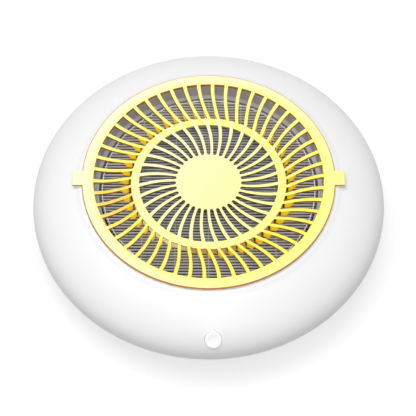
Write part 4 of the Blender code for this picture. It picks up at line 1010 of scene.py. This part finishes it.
def make_cartridge_frame():
    """Tall wall, flat border with a dark gap to the paper, and the lip under the paper."""
    border = turn("cartridge_frame", ease_corners([
        (FRAME_RADIUS, FRAME_TOP), (FRAME_RADIUS, FRAME_BOTTOM), (LIP_INSIDE, FRAME_BOTTOM),
        (LIP_INSIDE, FRAME_BOTTOM + LIP_HEIGHT), (POTTING_INSIDE, FRAME_BOTTOM + LIP_HEIGHT),
        (POTTING_INSIDE, SHELF_HEIGHT), (FRAME_INSIDE, SHELF_HEIGHT), (FRAME_INSIDE, FRAME_TOP)],
        0.0002), grey_frame)
    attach(border, "filter")
    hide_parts("filter_frame")


def make_potting_line():
    """The thin pale line of glue that holds the ends of the folds."""
    inner, outer = EDGE_BEAD - EDGE_BEAD_HALF, EDGE_BEAD + EDGE_BEAD_HALF
    low, high = MEDIA_TOP - EDGE_BEAD_SINK, MEDIA_TOP + EDGE_BEAD_RISE
    line = turn("potting_line", ease_corners([
        (outer, high), (outer, low), (inner, low), (inner, high)], SMALL_EDGE), milky_glue)
    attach(line, "filter")


def pleat_height(across):
    """Height of the folded paper at a distance along Y, with folds that are round and not knife-sharp."""
    bottom, top = MEDIA_BOTTOM + PAPER / 2, MEDIA_TOP - PAPER / 2
    fold = abs(((across / PLEAT_PITCH) % 1.0) - 0.5) * 2
    bent = fold < PLEAT_BEND or fold > 1 - PLEAT_BEND
    return bottom + (top - bottom) * (0.5 - 0.5 * math.cos(math.pi * fold) if bent else fold)


def make_pleats():
    """The folded sheet, cut round to fit its frame."""
    folds = 2 * math.floor(MEDIA_RADIUS / PLEAT_PITCH)
    rows = [PLEAT_PITCH / 2 * (fold + level) for fold in range(-folds, folds) for level in PLEAT_LEVELS]
    shape = bmesh.new()
    lines = []
    for across in rows:
        if abs(across) >= MEDIA_RADIUS - PLEAT_SIDE_GAP:
            continue
        reach = math.sqrt((MEDIA_RADIUS - PLEAT_END_GAP) ** 2 - across ** 2)
        line = []
        for step in range(PLEAT_STEPS + 1):
            along = reach * (2 * step / PLEAT_STEPS - 1)
            sway = PLEAT_SWAY * math.sin(along * 170 + across * 900) * math.sin(across * 410 + 1.3)
            line.append(shape.verts.new((along, across + sway, pleat_height(across))))
        lines.append(line)
    for first, second in zip(lines, lines[1:]):
        for step in range(PLEAT_STEPS):
            shape.faces.new((first[step], first[step + 1], second[step + 1], second[step]))
    mesh = bpy.data.meshes.new("pleated_paper")
    shape.to_mesh(mesh)
    shape.free()
    shade(mesh, PLEAT_SHARP_DEGREES)
    mesh.materials.append(paper)
    sheet = place_mesh("pleated_paper", mesh)
    thickness = sheet.modifiers.new("paper", "SOLIDIFY")
    thickness.thickness = PAPER
    thickness.offset = 0.0
    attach(sheet, "filter")
    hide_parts("filter_media")


def make_glue_bead(name, offset):
    """One thin string of glue across the pleats: it lies on each ridge and sags into each fold."""
    reach = math.sqrt((MEDIA_RADIUS - BEAD_END_GAP) ** 2 - offset ** 2)
    steps = int(2 * reach / PLEAT_PITCH * BEAD_STEPS_PER_FOLD)
    curve = bpy.data.curves.new(name, "CURVE")
    curve.dimensions = "3D"
    curve.bevel_depth = BEAD_THICK
    curve.bevel_resolution = 2
    curve.use_fill_caps = True
    spline = curve.splines.new("POLY")
    spline.points.add(steps)
    for step, point in enumerate(spline.points):
        across = reach * (2 * step / steps - 1)
        ridge = 0.5 + 0.5 * math.cos(math.tau * (across / PLEAT_PITCH))
        height = MEDIA_TOP - BEAD_SINK - BEAD_SAG * (1 - ridge)
        point.co = (offset + BEAD_SWAY * math.sin(across * 330 + offset * 90), across, height, 1.0)
    string = place_mesh(name, curve)
    mesh = read_result(string)
    bpy.data.objects.remove(string)
    mesh.shade_smooth()
    mesh.materials.clear()
    mesh.materials.append(clear_glue)
    bead = place_mesh(name, mesh)
    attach(bead, "filter")


def make_seal():
    """The foam ring under the frame."""
    ring = turn("foam_seal", ease_corners([
        (FRAME_RADIUS, SEAL_TOP), (FRAME_RADIUS, SEAL_BOTTOM), (SEAL_INSIDE, SEAL_BOTTOM),
        (SEAL_INSIDE, SEAL_TOP)], SEAL_EDGE), foam, facets=160)
    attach(ring, "filter")
    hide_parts("filter_seal")


make_cartridge_frame()
make_potting_line()
make_pleats()
for bead_index in range(-2, 3):
    make_glue_bead(f"glue_bead_{bead_index + 3}", BEAD_SPACING * bead_index)
make_seal()


# Swirl grille. One moulding in pale gold lacquer lies on the land and is lifted by its two square tabs.
# Fifty blades climb from the middle ring to the rim, and thirty-five swing from the centre disc over it.
GRILLE_RADIUS = 0.103
RIM_INNER = 0.0934
RIM_TOP = 0.076
RIM_BOTTOM = 0.073
RIM_BEVEL = 0.0004
RIM_BEVEL_DROP = 0.0005
SPIGOT_RADIUS = 0.0962
SPIGOT_INNER = 0.0949
SPIGOT_BOTTOM = 0.0706
TAB_REACH = 0.0074
TAB_WIDTH = 0.0136
TAB_ROOT = 0.004
TAB_CORNER = 0.0006
TAB_EDGE = 0.00035
RING_RADIUS = 0.0629
RING_WIDTH = 0.0064
RING_TOP = 0.0697
RING_BOTTOM = 0.0675
RING_SHOULDER = 0.0009
SKIRT_BOTTOM = 0.0611
SKIRT_WALL = 0.0015
DISC_RADIUS = 0.0265
DISC_TOP = 0.0705
DISC_EDGE = 0.0003
NOTCH_STEPS = 10
BLADE_DEPTH = 0.0022
BLADE_EDGE = 0.00032
OUTER_BLADES = 50
OUTER_WIDTH = 0.0026
OUTER_FLARE = 0.0007
OUTER_STEPS = 24
OUTER_TURN = math.radians(8.75)
OUTER_SWING = math.radians(5.45)
OUTER_POWER = 2.2
OUTER_START = 0.0009
OUTER_OVERLAP = 0.0019
INNER_BLADES = 35
INNER_WIDTH = 0.0023
INNER_FLARE = 0.0010
INNER_STEPS = 16
INNER_TURN = math.radians(2.48)
INNER_SWING = math.radians(8.34)
INNER_POWER = 1.5
INNER_OVERLAP = 0.0008
INNER_SHORT = 0.0001
GUSSET_REACH = 0.0080
GUSSET_TOE = 0.40
GUSSET_BOTTOM = 0.0636
GRILLE_SHARP_DEGREES = 50
BRINK_WIDTH = 0.00075
WALL_FADE_START = 0.0014
WALL_FADE_END = 0.0018
UPWARD = 0.84
SIDEWAYS = 0.62
TO_THE_RIGHT = (0.75, -0.65, 0.0)
TO_THE_LEFT = (-0.96, -0.28, 0.0)
TO_THE_FRONT = (-0.75, -0.66, 0.0)
LACQUER_SPAN = 0.11
PAINTED_GLOW_STRENGTH = 0.36
GOLD = (0.98, 0.93, 0.52)
CREAM = (1.0, 0.99, 0.62)
AWAY_FROM_LIGHT_TINT = (1.0, 0.985, 0.38)
LEFT_BLADE_SHADE = (1.0, 0.58, 0.09)
RIM_WALL_REFLECTION = (0.94, 0.90, 0.72)
RING_WALL_LIT = (1.0, 0.97, 0.66)
RING_LIGHT = (1.0, 0.95, 0.60)
BROWN = (0.28, 0.12, 0.025)
TAN = (1.0, 0.66, 0.30)
SHADE = (0.05, 0.015, 0.0)
BLADE_SIDE_SHADE = (0.50, 0.20, 0.03)
RIM_INNER_SHADE = (0.62, 0.28, 0.04)
AMBER = (1.0, 0.70, 0.0)
PALE = (1.0, 0.96, 0.50)
EDGE_BROWN = (0.56, 0.19, 0.035)
BLACK = (0.0, 0.0, 0.0)
TAN_LIGHT = (0.30, 0.17, 0.06)
AMBER_LIGHT = (1.0, 0.56, 0.0)
TOP_STOPS = ((0.0, (1.0, 0.99, 0.30)), (0.575, (1.0, 0.98, 0.28)), (0.60, (1.0, 0.95, 0.22)),
             (0.70, (1.0, 0.93, 0.18)), (0.84, (1.0, 0.95, 0.24)), (0.89, (1.0, 0.99, 0.62)))
# Painted shade for faces that turn sideways, by distance from the middle: brown under the ring and round the
# disc, tan on the skirt, near black in the gap under the ring, and brown down the outer blades and the rim's
# inner wall. The pale stop keeps the blade sides over the ring light, the amber stop on the gussets is painted
# light, and the last stop is a dark brown line at the rim's outer brink.
SIDE_STOPS = ((0.0, BROWN), (0.511, BROWN), (0.516, PALE), (0.566, PALE), (0.5705, TAN), (0.5735, TAN),
              (0.577, SHADE), (0.588, SHADE), (0.594, AMBER), (0.640, AMBER), (0.660, BLADE_SIDE_SHADE), (0.84, BLADE_SIDE_SHADE),
              (0.865, RIM_INNER_SHADE), (0.90, RIM_INNER_SHADE), (0.925, EDGE_BROWN))
# Painted glow for faces that turn sideways: tan on the skirt and amber on the gussets, black elsewhere.
LIGHT_STOPS = ((0.0, BLACK), (0.565, BLACK), (0.570, TAN_LIGHT), (0.5735, TAN_LIGHT), (0.577, BLACK),
               (0.590, BLACK), (0.598, AMBER_LIGHT), (0.636, AMBER_LIGHT), (0.655, BLACK))


def tone_ramp(tree, share, stops):
    """A run of tones with stops of (position, tone)."""
    ramp = tree.nodes.new("ShaderNodeValToRGB")
    elements = ramp.color_ramp.elements
    while len(elements) < len(stops):
        elements.new(1.0)
    for element, (position, tone) in zip(elements, stops):
        element.position = position
        element.color = (*tone, 1.0)
    tree.links.new(share, ramp.inputs["Fac"])
    return ramp.outputs["Color"]


def lacquer_on_top(tree, place, parts, away, heading, span):
    """Tones of the upward faces: creamy inside the ring, painted light that turns them a deeper yellow to the
    right, painted shade that turns the outer blades orange at the left, brown at the rim's brink.
    """
    raised = work_out(tree, "GREATER_THAN", parts["Z"], DISC_TOP - 0.0004)
    within = work_out(tree, "LESS_THAN", away, RING_RADIUS + 0.0002)
    near = carry_over(tree, parts["Y"], RING_RADIUS, -RING_RADIUS, 0.0, 0.7)
    paler = work_out(tree, "MAXIMUM", work_out(tree, "MULTIPLY", raised, within),
                     work_out(tree, "MULTIPLY", near, within))
    creamy = blend(tree, paler, tone_ramp(tree, span, TOP_STOPS), CREAM)
    # Painted light: the tops turn a deeper yellow towards the front right, away from the light.
    lean = work_out_vector(tree, "DOT_PRODUCT", place, TO_THE_RIGHT)
    light_falloff = blend(tree, carry_over(tree, lean, -0.10, 0.10, 0.0, 0.95), creamy, AWAY_FROM_LIGHT_TINT, "MULTIPLY")
    # Painted shade: the tops of the outer blades on the left turn orange.
    to_left = work_out_vector(tree, "DOT_PRODUCT", heading, TO_THE_LEFT)
    on_blades = work_out(tree, "COMPARE", away, (RING_RADIUS + RIM_INNER) / 2, (RIM_INNER - RING_RADIUS) / 2)
    left_blade_shade = work_out(tree, "MULTIPLY", carry_over(tree, to_left, 0.955, 0.99, 0.0, 0.6), on_blades)
    aside = work_out(tree, "ABSOLUTE", parts["Y"])
    beside_tabs = work_out(tree, "GREATER_THAN", aside, TAB_WIDTH / 2 + 0.0002)
    at_brink = work_out(tree, "GREATER_THAN", away, GRILLE_RADIUS - BRINK_WIDTH)
    lined = work_out(tree, "MULTIPLY", beside_tabs, at_brink)
    return blend(tree, lined, blend(tree, left_blade_shade, light_falloff, LEFT_BLADE_SHADE), EDGE_BROWN)


def pale_gold_lacquer():
    """Pale gold lacquer, creamy where it faces up. Down the sides and under the ring it is amber to brown
    painted shade, with painted light on the front of the ring, a painted reflection on the rim's lower wall and
    a painted glow.
    """
    made, tree, shader = start_material("pale_gold_lacquer", GOLD, 0.36)
    shader.inputs["Coat Weight"].default_value = 0.15
    shader.inputs["Coat Roughness"].default_value = 0.2
    wear_skin(tree, shader, moulded_skin, (1400.0, 0.06, 0.36, 0.08))
    axes = tree.nodes.new("ShaderNodeTexCoord")
    place, parts = axes.outputs["Object"], split_up(tree, axes.outputs["Object"])
    flat = work_out_vector(tree, "MULTIPLY", place, (1.0, 1.0, 0.0))
    away = work_out_vector(tree, "LENGTH", flat)
    heading = work_out_vector(tree, "NORMALIZE", flat)
    span = carry_over(tree, away, 0.0, LACQUER_SPAN)
    # Faces that turn sideways take the painted shade of the side stops in place of the tones on top.
    sideways = carry_over(tree, split_up(tree, axes.outputs["Normal"])["Z"], UPWARD, SIDEWAYS)
    # Painted reflection: the lower part of the rim's outer wall is pale cream, a painted reflection of the
    # white land beside it.
    lower = carry_over(tree, parts["Z"], RIM_TOP - WALL_FADE_START, RIM_TOP - WALL_FADE_END)
    outside = work_out(tree, "GREATER_THAN", away, SPIGOT_RADIUS + 0.004)
    painted_sides = blend(tree, work_out(tree, "MULTIPLY", lower, outside), tone_ramp(tree, span, SIDE_STOPS), RIM_WALL_REFLECTION)
    # Painted light: the ring's outer wall is cream and glows where it faces the front left.
    towards = work_out_vector(tree, "DOT_PRODUCT", heading, TO_THE_FRONT)
    on_ring = work_out(tree, "COMPARE", away, RING_RADIUS, 0.0004)
    lit_ring_wall = work_out(tree, "MULTIPLY", carry_over(tree, towards, 0.80, 0.96), on_ring)
    tops = lacquer_on_top(tree, place, parts, away, heading, span)
    tone = blend(tree, sideways, tops, blend(tree, lit_ring_wall, painted_sides, RING_WALL_LIT))
    tree.links.new(tone, shader.inputs["Base Color"])
    # Painted glow: the lit ring wall, the skirt and the gussets glow, and the faces on top do not.
    painted_glow_tone = blend(tree, lit_ring_wall, tone_ramp(tree, span, LIGHT_STOPS), RING_LIGHT)
    tree.links.new(blend(tree, sideways, BLACK, painted_glow_tone), shader.inputs["Emission Color"])
    shader.inputs["Emission Strength"].default_value = PAINTED_GLOW_STRENGTH
    return made


gold = pale_gold_lacquer()


def inner_angle(radius):
    """Azimuth of an inner blade: nearly radial at the disc, then swinging on."""
    share = max((radius - DISC_RADIUS) / (RING_RADIUS - DISC_RADIUS), 0.0)
    return INNER_TURN + INNER_SWING * share ** INNER_POWER


def outer_angle(radius):
    """Azimuth of an outer blade: slanting at the middle ring, radial where it meets the rim."""
    share = min(max((RIM_INNER - radius) / (RIM_INNER - RING_RADIUS), 0.0), 1.0)
    return OUTER_TURN - OUTER_SWING * share ** OUTER_POWER


def blade_section(half, top, bottom):
    """Corners of a blade's section, rounded at all four edges."""
    edge = min(BLADE_EDGE, half * 0.8, (top - bottom) * 0.4)
    bend = edge * 0.29
    right = [(half - edge, bottom), (half - bend, bottom + bend), (half, bottom + edge),
             (half, top - edge), (half - bend, top - bend), (half - edge, top)]
    left = [(-across, height) for across, height in reversed(right)]
    return [left[-1]] + right + left[:-1]


def add_blade(shape, stations):
    """Loft one blade through stations of (centre, half width, top, bottom)."""
    rings = []
    for index, (centre, half, top, bottom) in enumerate(stations):
        before = stations[max(index - 1, 0)][0]
        after = stations[min(index + 1, len(stations) - 1)][0]
        along = (after - before).normalized()
        side = Vector((-along.y, along.x))
        rings.append([shape.verts.new((*(centre + side * across), height))
                      for across, height in blade_section(half, top, bottom)])
    stack_rings(shape, rings)


def make_inner_blades():
    """Thirty-five blades from the disc over the middle ring to its outer edge."""
    shape = bmesh.new()
    start = DISC_RADIUS - INNER_OVERLAP
    end = RING_RADIUS - INNER_SHORT
    for index in range(INNER_BLADES):
        stations = []
        for step in range(INNER_STEPS + 1):
            share = step / INNER_STEPS
            radius = start + (end - start) * share
            azimuth = inner_angle(radius) + math.tau * index / INNER_BLADES
            half = (INNER_WIDTH + INNER_FLARE * share) / 2
            stations.append((polar(radius, azimuth).xy, half, DISC_TOP - 0.00002, DISC_TOP - BLADE_DEPTH))
        add_blade(shape, stations)
    return finish_mesh("inner_blades", shape, gold)


def outer_blade_bottom(radius, under):
    """Underside of an outer blade, which hooks down the skirt as a rounded gusset."""
    hook = RING_RADIUS + GUSSET_REACH
    toe = RING_RADIUS + GUSSET_REACH * GUSSET_TOE
    if radius < toe:
        return GUSSET_BOTTOM
    if radius < hook:
        t = (radius - toe) / (hook - toe)
        return min(GUSSET_BOTTOM + (under - GUSSET_BOTTOM) * (1 - math.sqrt(1 - t * t)), under)
    return under


def make_outer_blades():
    """Fifty blades from the skirt up to the rim, each with a hooked gusset at its foot."""
    shape = bmesh.new()
    start = RING_RADIUS - OUTER_START
    end = RIM_INNER + OUTER_OVERLAP
    for index in range(OUTER_BLADES):
        stations = []
        for step in range(OUTER_STEPS + 1):
            radius = start + (end - start) * (step / OUTER_STEPS) ** 1.15
            climb = min(max((radius - RING_RADIUS) / (RIM_INNER - RING_RADIUS), 0.0), 1.0)
            top = RING_TOP + (RIM_TOP - RING_TOP) * climb - 0.00006
            azimuth = outer_angle(radius) + math.tau * index / OUTER_BLADES
            half = (OUTER_WIDTH + OUTER_FLARE * climb) / 2
            bottom = outer_blade_bottom(radius, top - BLADE_DEPTH)
            stations.append((polar(radius, azimuth).xy, half, top, bottom))
        add_blade(shape, stations)
    return finish_mesh("outer_blades", shape, gold)


def make_disc():
    """Centre disc with a round notch at the end of each slot and a softened edge."""
    pitch = math.tau / INNER_BLADES
    notch = (pitch * DISC_RADIUS - INNER_WIDTH) / 2
    outline = []
    for index in range(INNER_BLADES):
        azimuth = INNER_TURN + pitch * (index + 0.5)
        for step in range(NOTCH_STEPS + 1):
            angle = math.pi / 2 + math.pi * (1 - step / NOTCH_STEPS) + azimuth
            outline.append((polar(DISC_RADIUS + notch, azimuth) + polar(notch, angle)).xy)
    insets_and_heights = ((DISC_EDGE, DISC_TOP - BLADE_DEPTH), (0.0, DISC_TOP - BLADE_DEPTH + DISC_EDGE),
                          (0.0, DISC_TOP - DISC_EDGE), (DISC_EDGE * 0.3, DISC_TOP - DISC_EDGE * 0.3),
                          (DISC_EDGE, DISC_TOP))
    shape = bmesh.new()
    rings = []
    for inset, height in insets_and_heights:
        ring = []
        for index, point in enumerate(outline):
            after = outline[(index + 1) % len(outline)]
            along = (after - outline[index - 1]).normalized()
            inward = Vector((-along.y, along.x))
            if inward.dot(point) > 0:
                inward = -inward
            ring.append(shape.verts.new((*(point + inward * inset), height)))
        rings.append(ring)
    stack_rings(shape, rings)
    return finish_mesh("disc", shape, gold)


def make_tab(side):
    """A square finger tab past the rim, with softened edges."""
    low = GRILLE_RADIUS - TAB_ROOT
    high = GRILLE_RADIUS + TAB_REACH
    shift = Matrix.Translation((side * (low + high) / 2, 0.0, 0.0))
    tab = prism("tab", oblong_outline(high - low, TAB_WIDTH, TAB_CORNER, steps=5), shift,
                RIM_BOTTOM + 0.0001, RIM_TOP - 0.00002, gold)
    ease = tab.modifiers.new("ease", "BEVEL")
    ease.width = TAB_EDGE
    ease.segments = 3
    ease.limit_method = "ANGLE"
    mesh = read_result(tab)
    tab.modifiers.clear()
    tab.data = mesh
    return tab


def make_grille():
    """Rim with its spigot, tabs, middle ring with its skirt, disc and both sets of blades."""
    rim = turn("rim", ease_corners([
        (GRILLE_RADIUS - RIM_BEVEL, RIM_TOP), (GRILLE_RADIUS, RIM_TOP - RIM_BEVEL_DROP),
        (GRILLE_RADIUS, RIM_BOTTOM), (SPIGOT_RADIUS, RIM_BOTTOM), (SPIGOT_RADIUS, SPIGOT_BOTTOM),
        (SPIGOT_INNER, SPIGOT_BOTTOM),
        (SPIGOT_INNER, RIM_BOTTOM), (RIM_INNER, RIM_BOTTOM), (RIM_INNER, RIM_TOP)], MOULDED_EDGE), gold)
    ring_inner = RING_RADIUS - RING_WIDTH
    skirt_inner = RING_RADIUS - SKIRT_WALL
    ring = turn("ring", ease_corners([
        (RING_RADIUS, RING_TOP), (RING_RADIUS + RING_SHOULDER, RING_TOP - RING_SHOULDER * 1.1),
        (RING_RADIUS, RING_TOP - RING_SHOULDER * 2.6), (RING_RADIUS, SKIRT_BOTTOM),
        (skirt_inner, SKIRT_BOTTOM), (skirt_inner, RING_BOTTOM), (ring_inner, RING_BOTTOM),
        (ring_inner, RING_TOP)], SMALL_EDGE), gold, facets=200)
    blades = [make_inner_blades(), make_outer_blades()]
    grille = join_meshes("swirl_grille", [rim, make_tab(-1), make_tab(1), ring, make_disc()] + blades, gold)
    shade(grille.data, GRILLE_SHARP_DEGREES)
    even = grille.modifiers.new("even_faces", "WEIGHTED_NORMAL")
    even.keep_sharp = True
    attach(grille, "grille")
    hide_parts("grille")


make_grille()


# Push button. A white cap with a pointed nub stands just proud of the shoulder, has a shallow dish for
# the fingertip, and pushes a switch on the board behind it through its stem.
BUTTON_PROUD = 0.0008
BUTTON_SKIRT = 0.0048
CAP_STEPS = 144
CAP_SHARP_DEGREES = 40
CAP_WHITE = (0.92, 0.92, 0.92)
CAP_EDGE = ((0.00050, 0.0), (0.00022, 0.00006), (0.00006, 0.00022), (0.0, 0.00050))
DISH_RADIUS = 0.0046
DISH_DEPTH = 0.0007
DISH_STEPS = 9
DISH_BRINK = 0.0002
FLANGE_RADIUS = 0.0083
FLANGE_THICKNESS = 0.0012
FLANGE_EDGE = 0.0001
STEM_RADIUS = 0.002
STEM_LENGTH = 0.0036
STEM_EDGE = 0.0003


def glowing_cap_white():
    """The cap's own white, a shade brighter than the shells and as glossy, with a painted glow that keeps it
    brighter still.
    """
    made, shader = moulded_look("glowing_cap_white", CAP_WHITE, ((0.95, 0.95, 0.95), (0.93, 0.93, 0.935)),
                                roughness=0.2, grain=900.0, relief=0.03, patchiness=0.06, polish=0.22)
    shader.inputs["Coat Weight"].default_value = 0.3
    shader.inputs["Coat Roughness"].default_value = 0.06
    # Painted glow: the cap shines from within though nothing lights it.
    shader.inputs["Emission Color"].default_value = (1.0, 1.0, 1.0, 1.0)
    shader.inputs["Emission Strength"].default_value = 0.10
    return made


cap_white = glowing_cap_white()


def cap_rings():
    """Rings from the dish to the stem, as (follows the outline, radius or margin, height)."""
    shares = [step / DISH_STEPS for step in range(1, DISH_STEPS + 1)]
    rings = [(False, DISH_RADIUS * share, BUTTON_PROUD - DISH_DEPTH * (1 - share ** 2)) for share in shares]
    rings.append((False, DISH_RADIUS + DISH_BRINK, BUTTON_PROUD))
    rings += [(True, -inset, BUTTON_PROUD - drop) for inset, drop in CAP_EDGE]
    rings.append((True, 0.0, -BUTTON_SKIRT))
    flange_bottom = -BUTTON_SKIRT - FLANGE_THICKNESS
    stem_bottom = flange_bottom - STEM_LENGTH
    return rings + [(False, FLANGE_RADIUS - FLANGE_EDGE, -BUTTON_SKIRT),
                    (False, FLANGE_RADIUS, -BUTTON_SKIRT - FLANGE_EDGE),
                    (False, FLANGE_RADIUS, flange_bottom + FLANGE_EDGE),
                    (False, FLANGE_RADIUS - FLANGE_EDGE, flange_bottom),
                    (False, STEM_RADIUS, flange_bottom), (False, STEM_RADIUS, stem_bottom + STEM_EDGE),
                    (False, STEM_RADIUS - STEM_EDGE, stem_bottom)]


def make_cap():
    """The cap from the middle of its dish out over its edge and down to the flange and stem."""
    shape = bmesh.new()
    loops = []
    for follows_outline, size, height in cap_rings():
        loop = []
        for step in range(CAP_STEPS):
            angle = math.tau * step / CAP_STEPS
            reach = button_reach(angle) + size if follows_outline else size
            loop.append(shape.verts.new((reach * math.cos(angle), reach * math.sin(angle), height)))
        loops.append(loop)
    middle = shape.verts.new((0.0, 0.0, BUTTON_PROUD - DISH_DEPTH))
    for step in range(CAP_STEPS):
        shape.faces.new((middle, loops[0][step], loops[0][(step + 1) % CAP_STEPS]))
    for upper, lower in zip(loops, loops[1:]):
        bridge(shape, lower, upper)
    shape.faces.new(loops[-1])
    cap = finish_mesh("push_cap", shape, cap_white, CAP_SHARP_DEGREES)
    cap.data.transform(button_frame)
    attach(cap, "button")
    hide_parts("button_cap")


make_cap()


# Fan and motor. Under the filter a black funnel plate with a finger guard leads the air into a closed
# centrifugal wheel on a canned motor, inside a spiral housing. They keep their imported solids.
def dress(look, *nodes):
    """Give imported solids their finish."""
    for node in nodes:
        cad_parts[node].material_slots[0].material = look


fan_black = matt_black("fan_black", grain=1200.0, relief=0.35, polish=0.42)
drawn_steel = grained_metal("drawn_steel", (0.66, 0.66, 0.67), (0.46, 0.46, 0.48), stretch=(90.0, 90.0, 2200.0),
                            relief=0.12, polish=0.24, spread=0.2)
sintered_bronze = grained_metal("sintered_bronze", (0.72, 0.52, 0.26), (0.45, 0.31, 0.14),
                                stretch=(2600.0, 2600.0, 2600.0), relief=0.4, polish=0.35, spread=0.25)
copper_winding = grained_metal("copper_winding", (0.78, 0.38, 0.20), (0.38, 0.15, 0.07),
                               stretch=(140.0, 140.0, 5200.0), relief=0.8, polish=0.25, spread=0.25)
dress(fan_black, "inlet_plate", "impeller", "fan_scroll", "switch_plunger", "socket_lead")
dress(drawn_steel, "motor_base", "motor_can", "motor_shaft", "push_switch", "board_screw_1", "board_screw_2",
      "plate_screw_1", "plate_screw_2", "plate_screw_3", "motor_screw_1", "motor_screw_2", "motor_screw_3")
dress(sintered_bronze, "bearing_lower", "bearing_upper")
dress(copper_winding, "motor_rotor")


# Control board. A small green board on two posts carries the push switch, and a natural nylon connector
# takes the red motor lead and the black lead of the power socket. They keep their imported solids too.
TRACKS_PER_METRE = 420.0


def solder_mask():
    """Green solder mask with faint raised tracks under it."""
    made, tree, shader = start_material("solder_mask", (0.01, 0.10, 0.035), 0.3)
    tracks = tree.nodes.new("ShaderNodeTexBrick")
    tracks.inputs["Scale"].default_value = TRACKS_PER_METRE
    tracks.inputs["Mortar Size"].default_value = 0.06
    tracks.inputs["Color1"].default_value = (0.008, 0.085, 0.03, 1.0)
    tracks.inputs["Color2"].default_value = (0.010, 0.095, 0.034, 1.0)
    tracks.inputs["Mortar"].default_value = (0.03, 0.20, 0.075, 1.0)
    tree.links.new(tree.nodes.new("ShaderNodeTexCoord").outputs["Object"], tracks.inputs["Vector"])
    tree.links.new(tracks.outputs["Color"], shader.inputs["Base Color"])
    tree.links.new(raise_relief(tree, tracks.outputs["Fac"], 0.3, 0.0001), shader.inputs["Normal"])
    return made


def soft_sleeve(name, dark, light, polish):
    """The skin of a lead or a nylon part: smooth with slow changes in tone."""
    made, _ = moulded_look(name, light, (dark, light), roughness=polish, grain=800.0, relief=0.12,
                           patchiness=0.15)
    return made


dress(solder_mask(), "control_board")
dress(soft_sleeve("natural_nylon", (0.66, 0.63, 0.54), (0.76, 0.74, 0.66), 0.4), "lead_connector")
dress(soft_sleeve("red_sleeve", (0.36, 0.02, 0.015), (0.50, 0.035, 0.025), 0.45), "motor_lead")
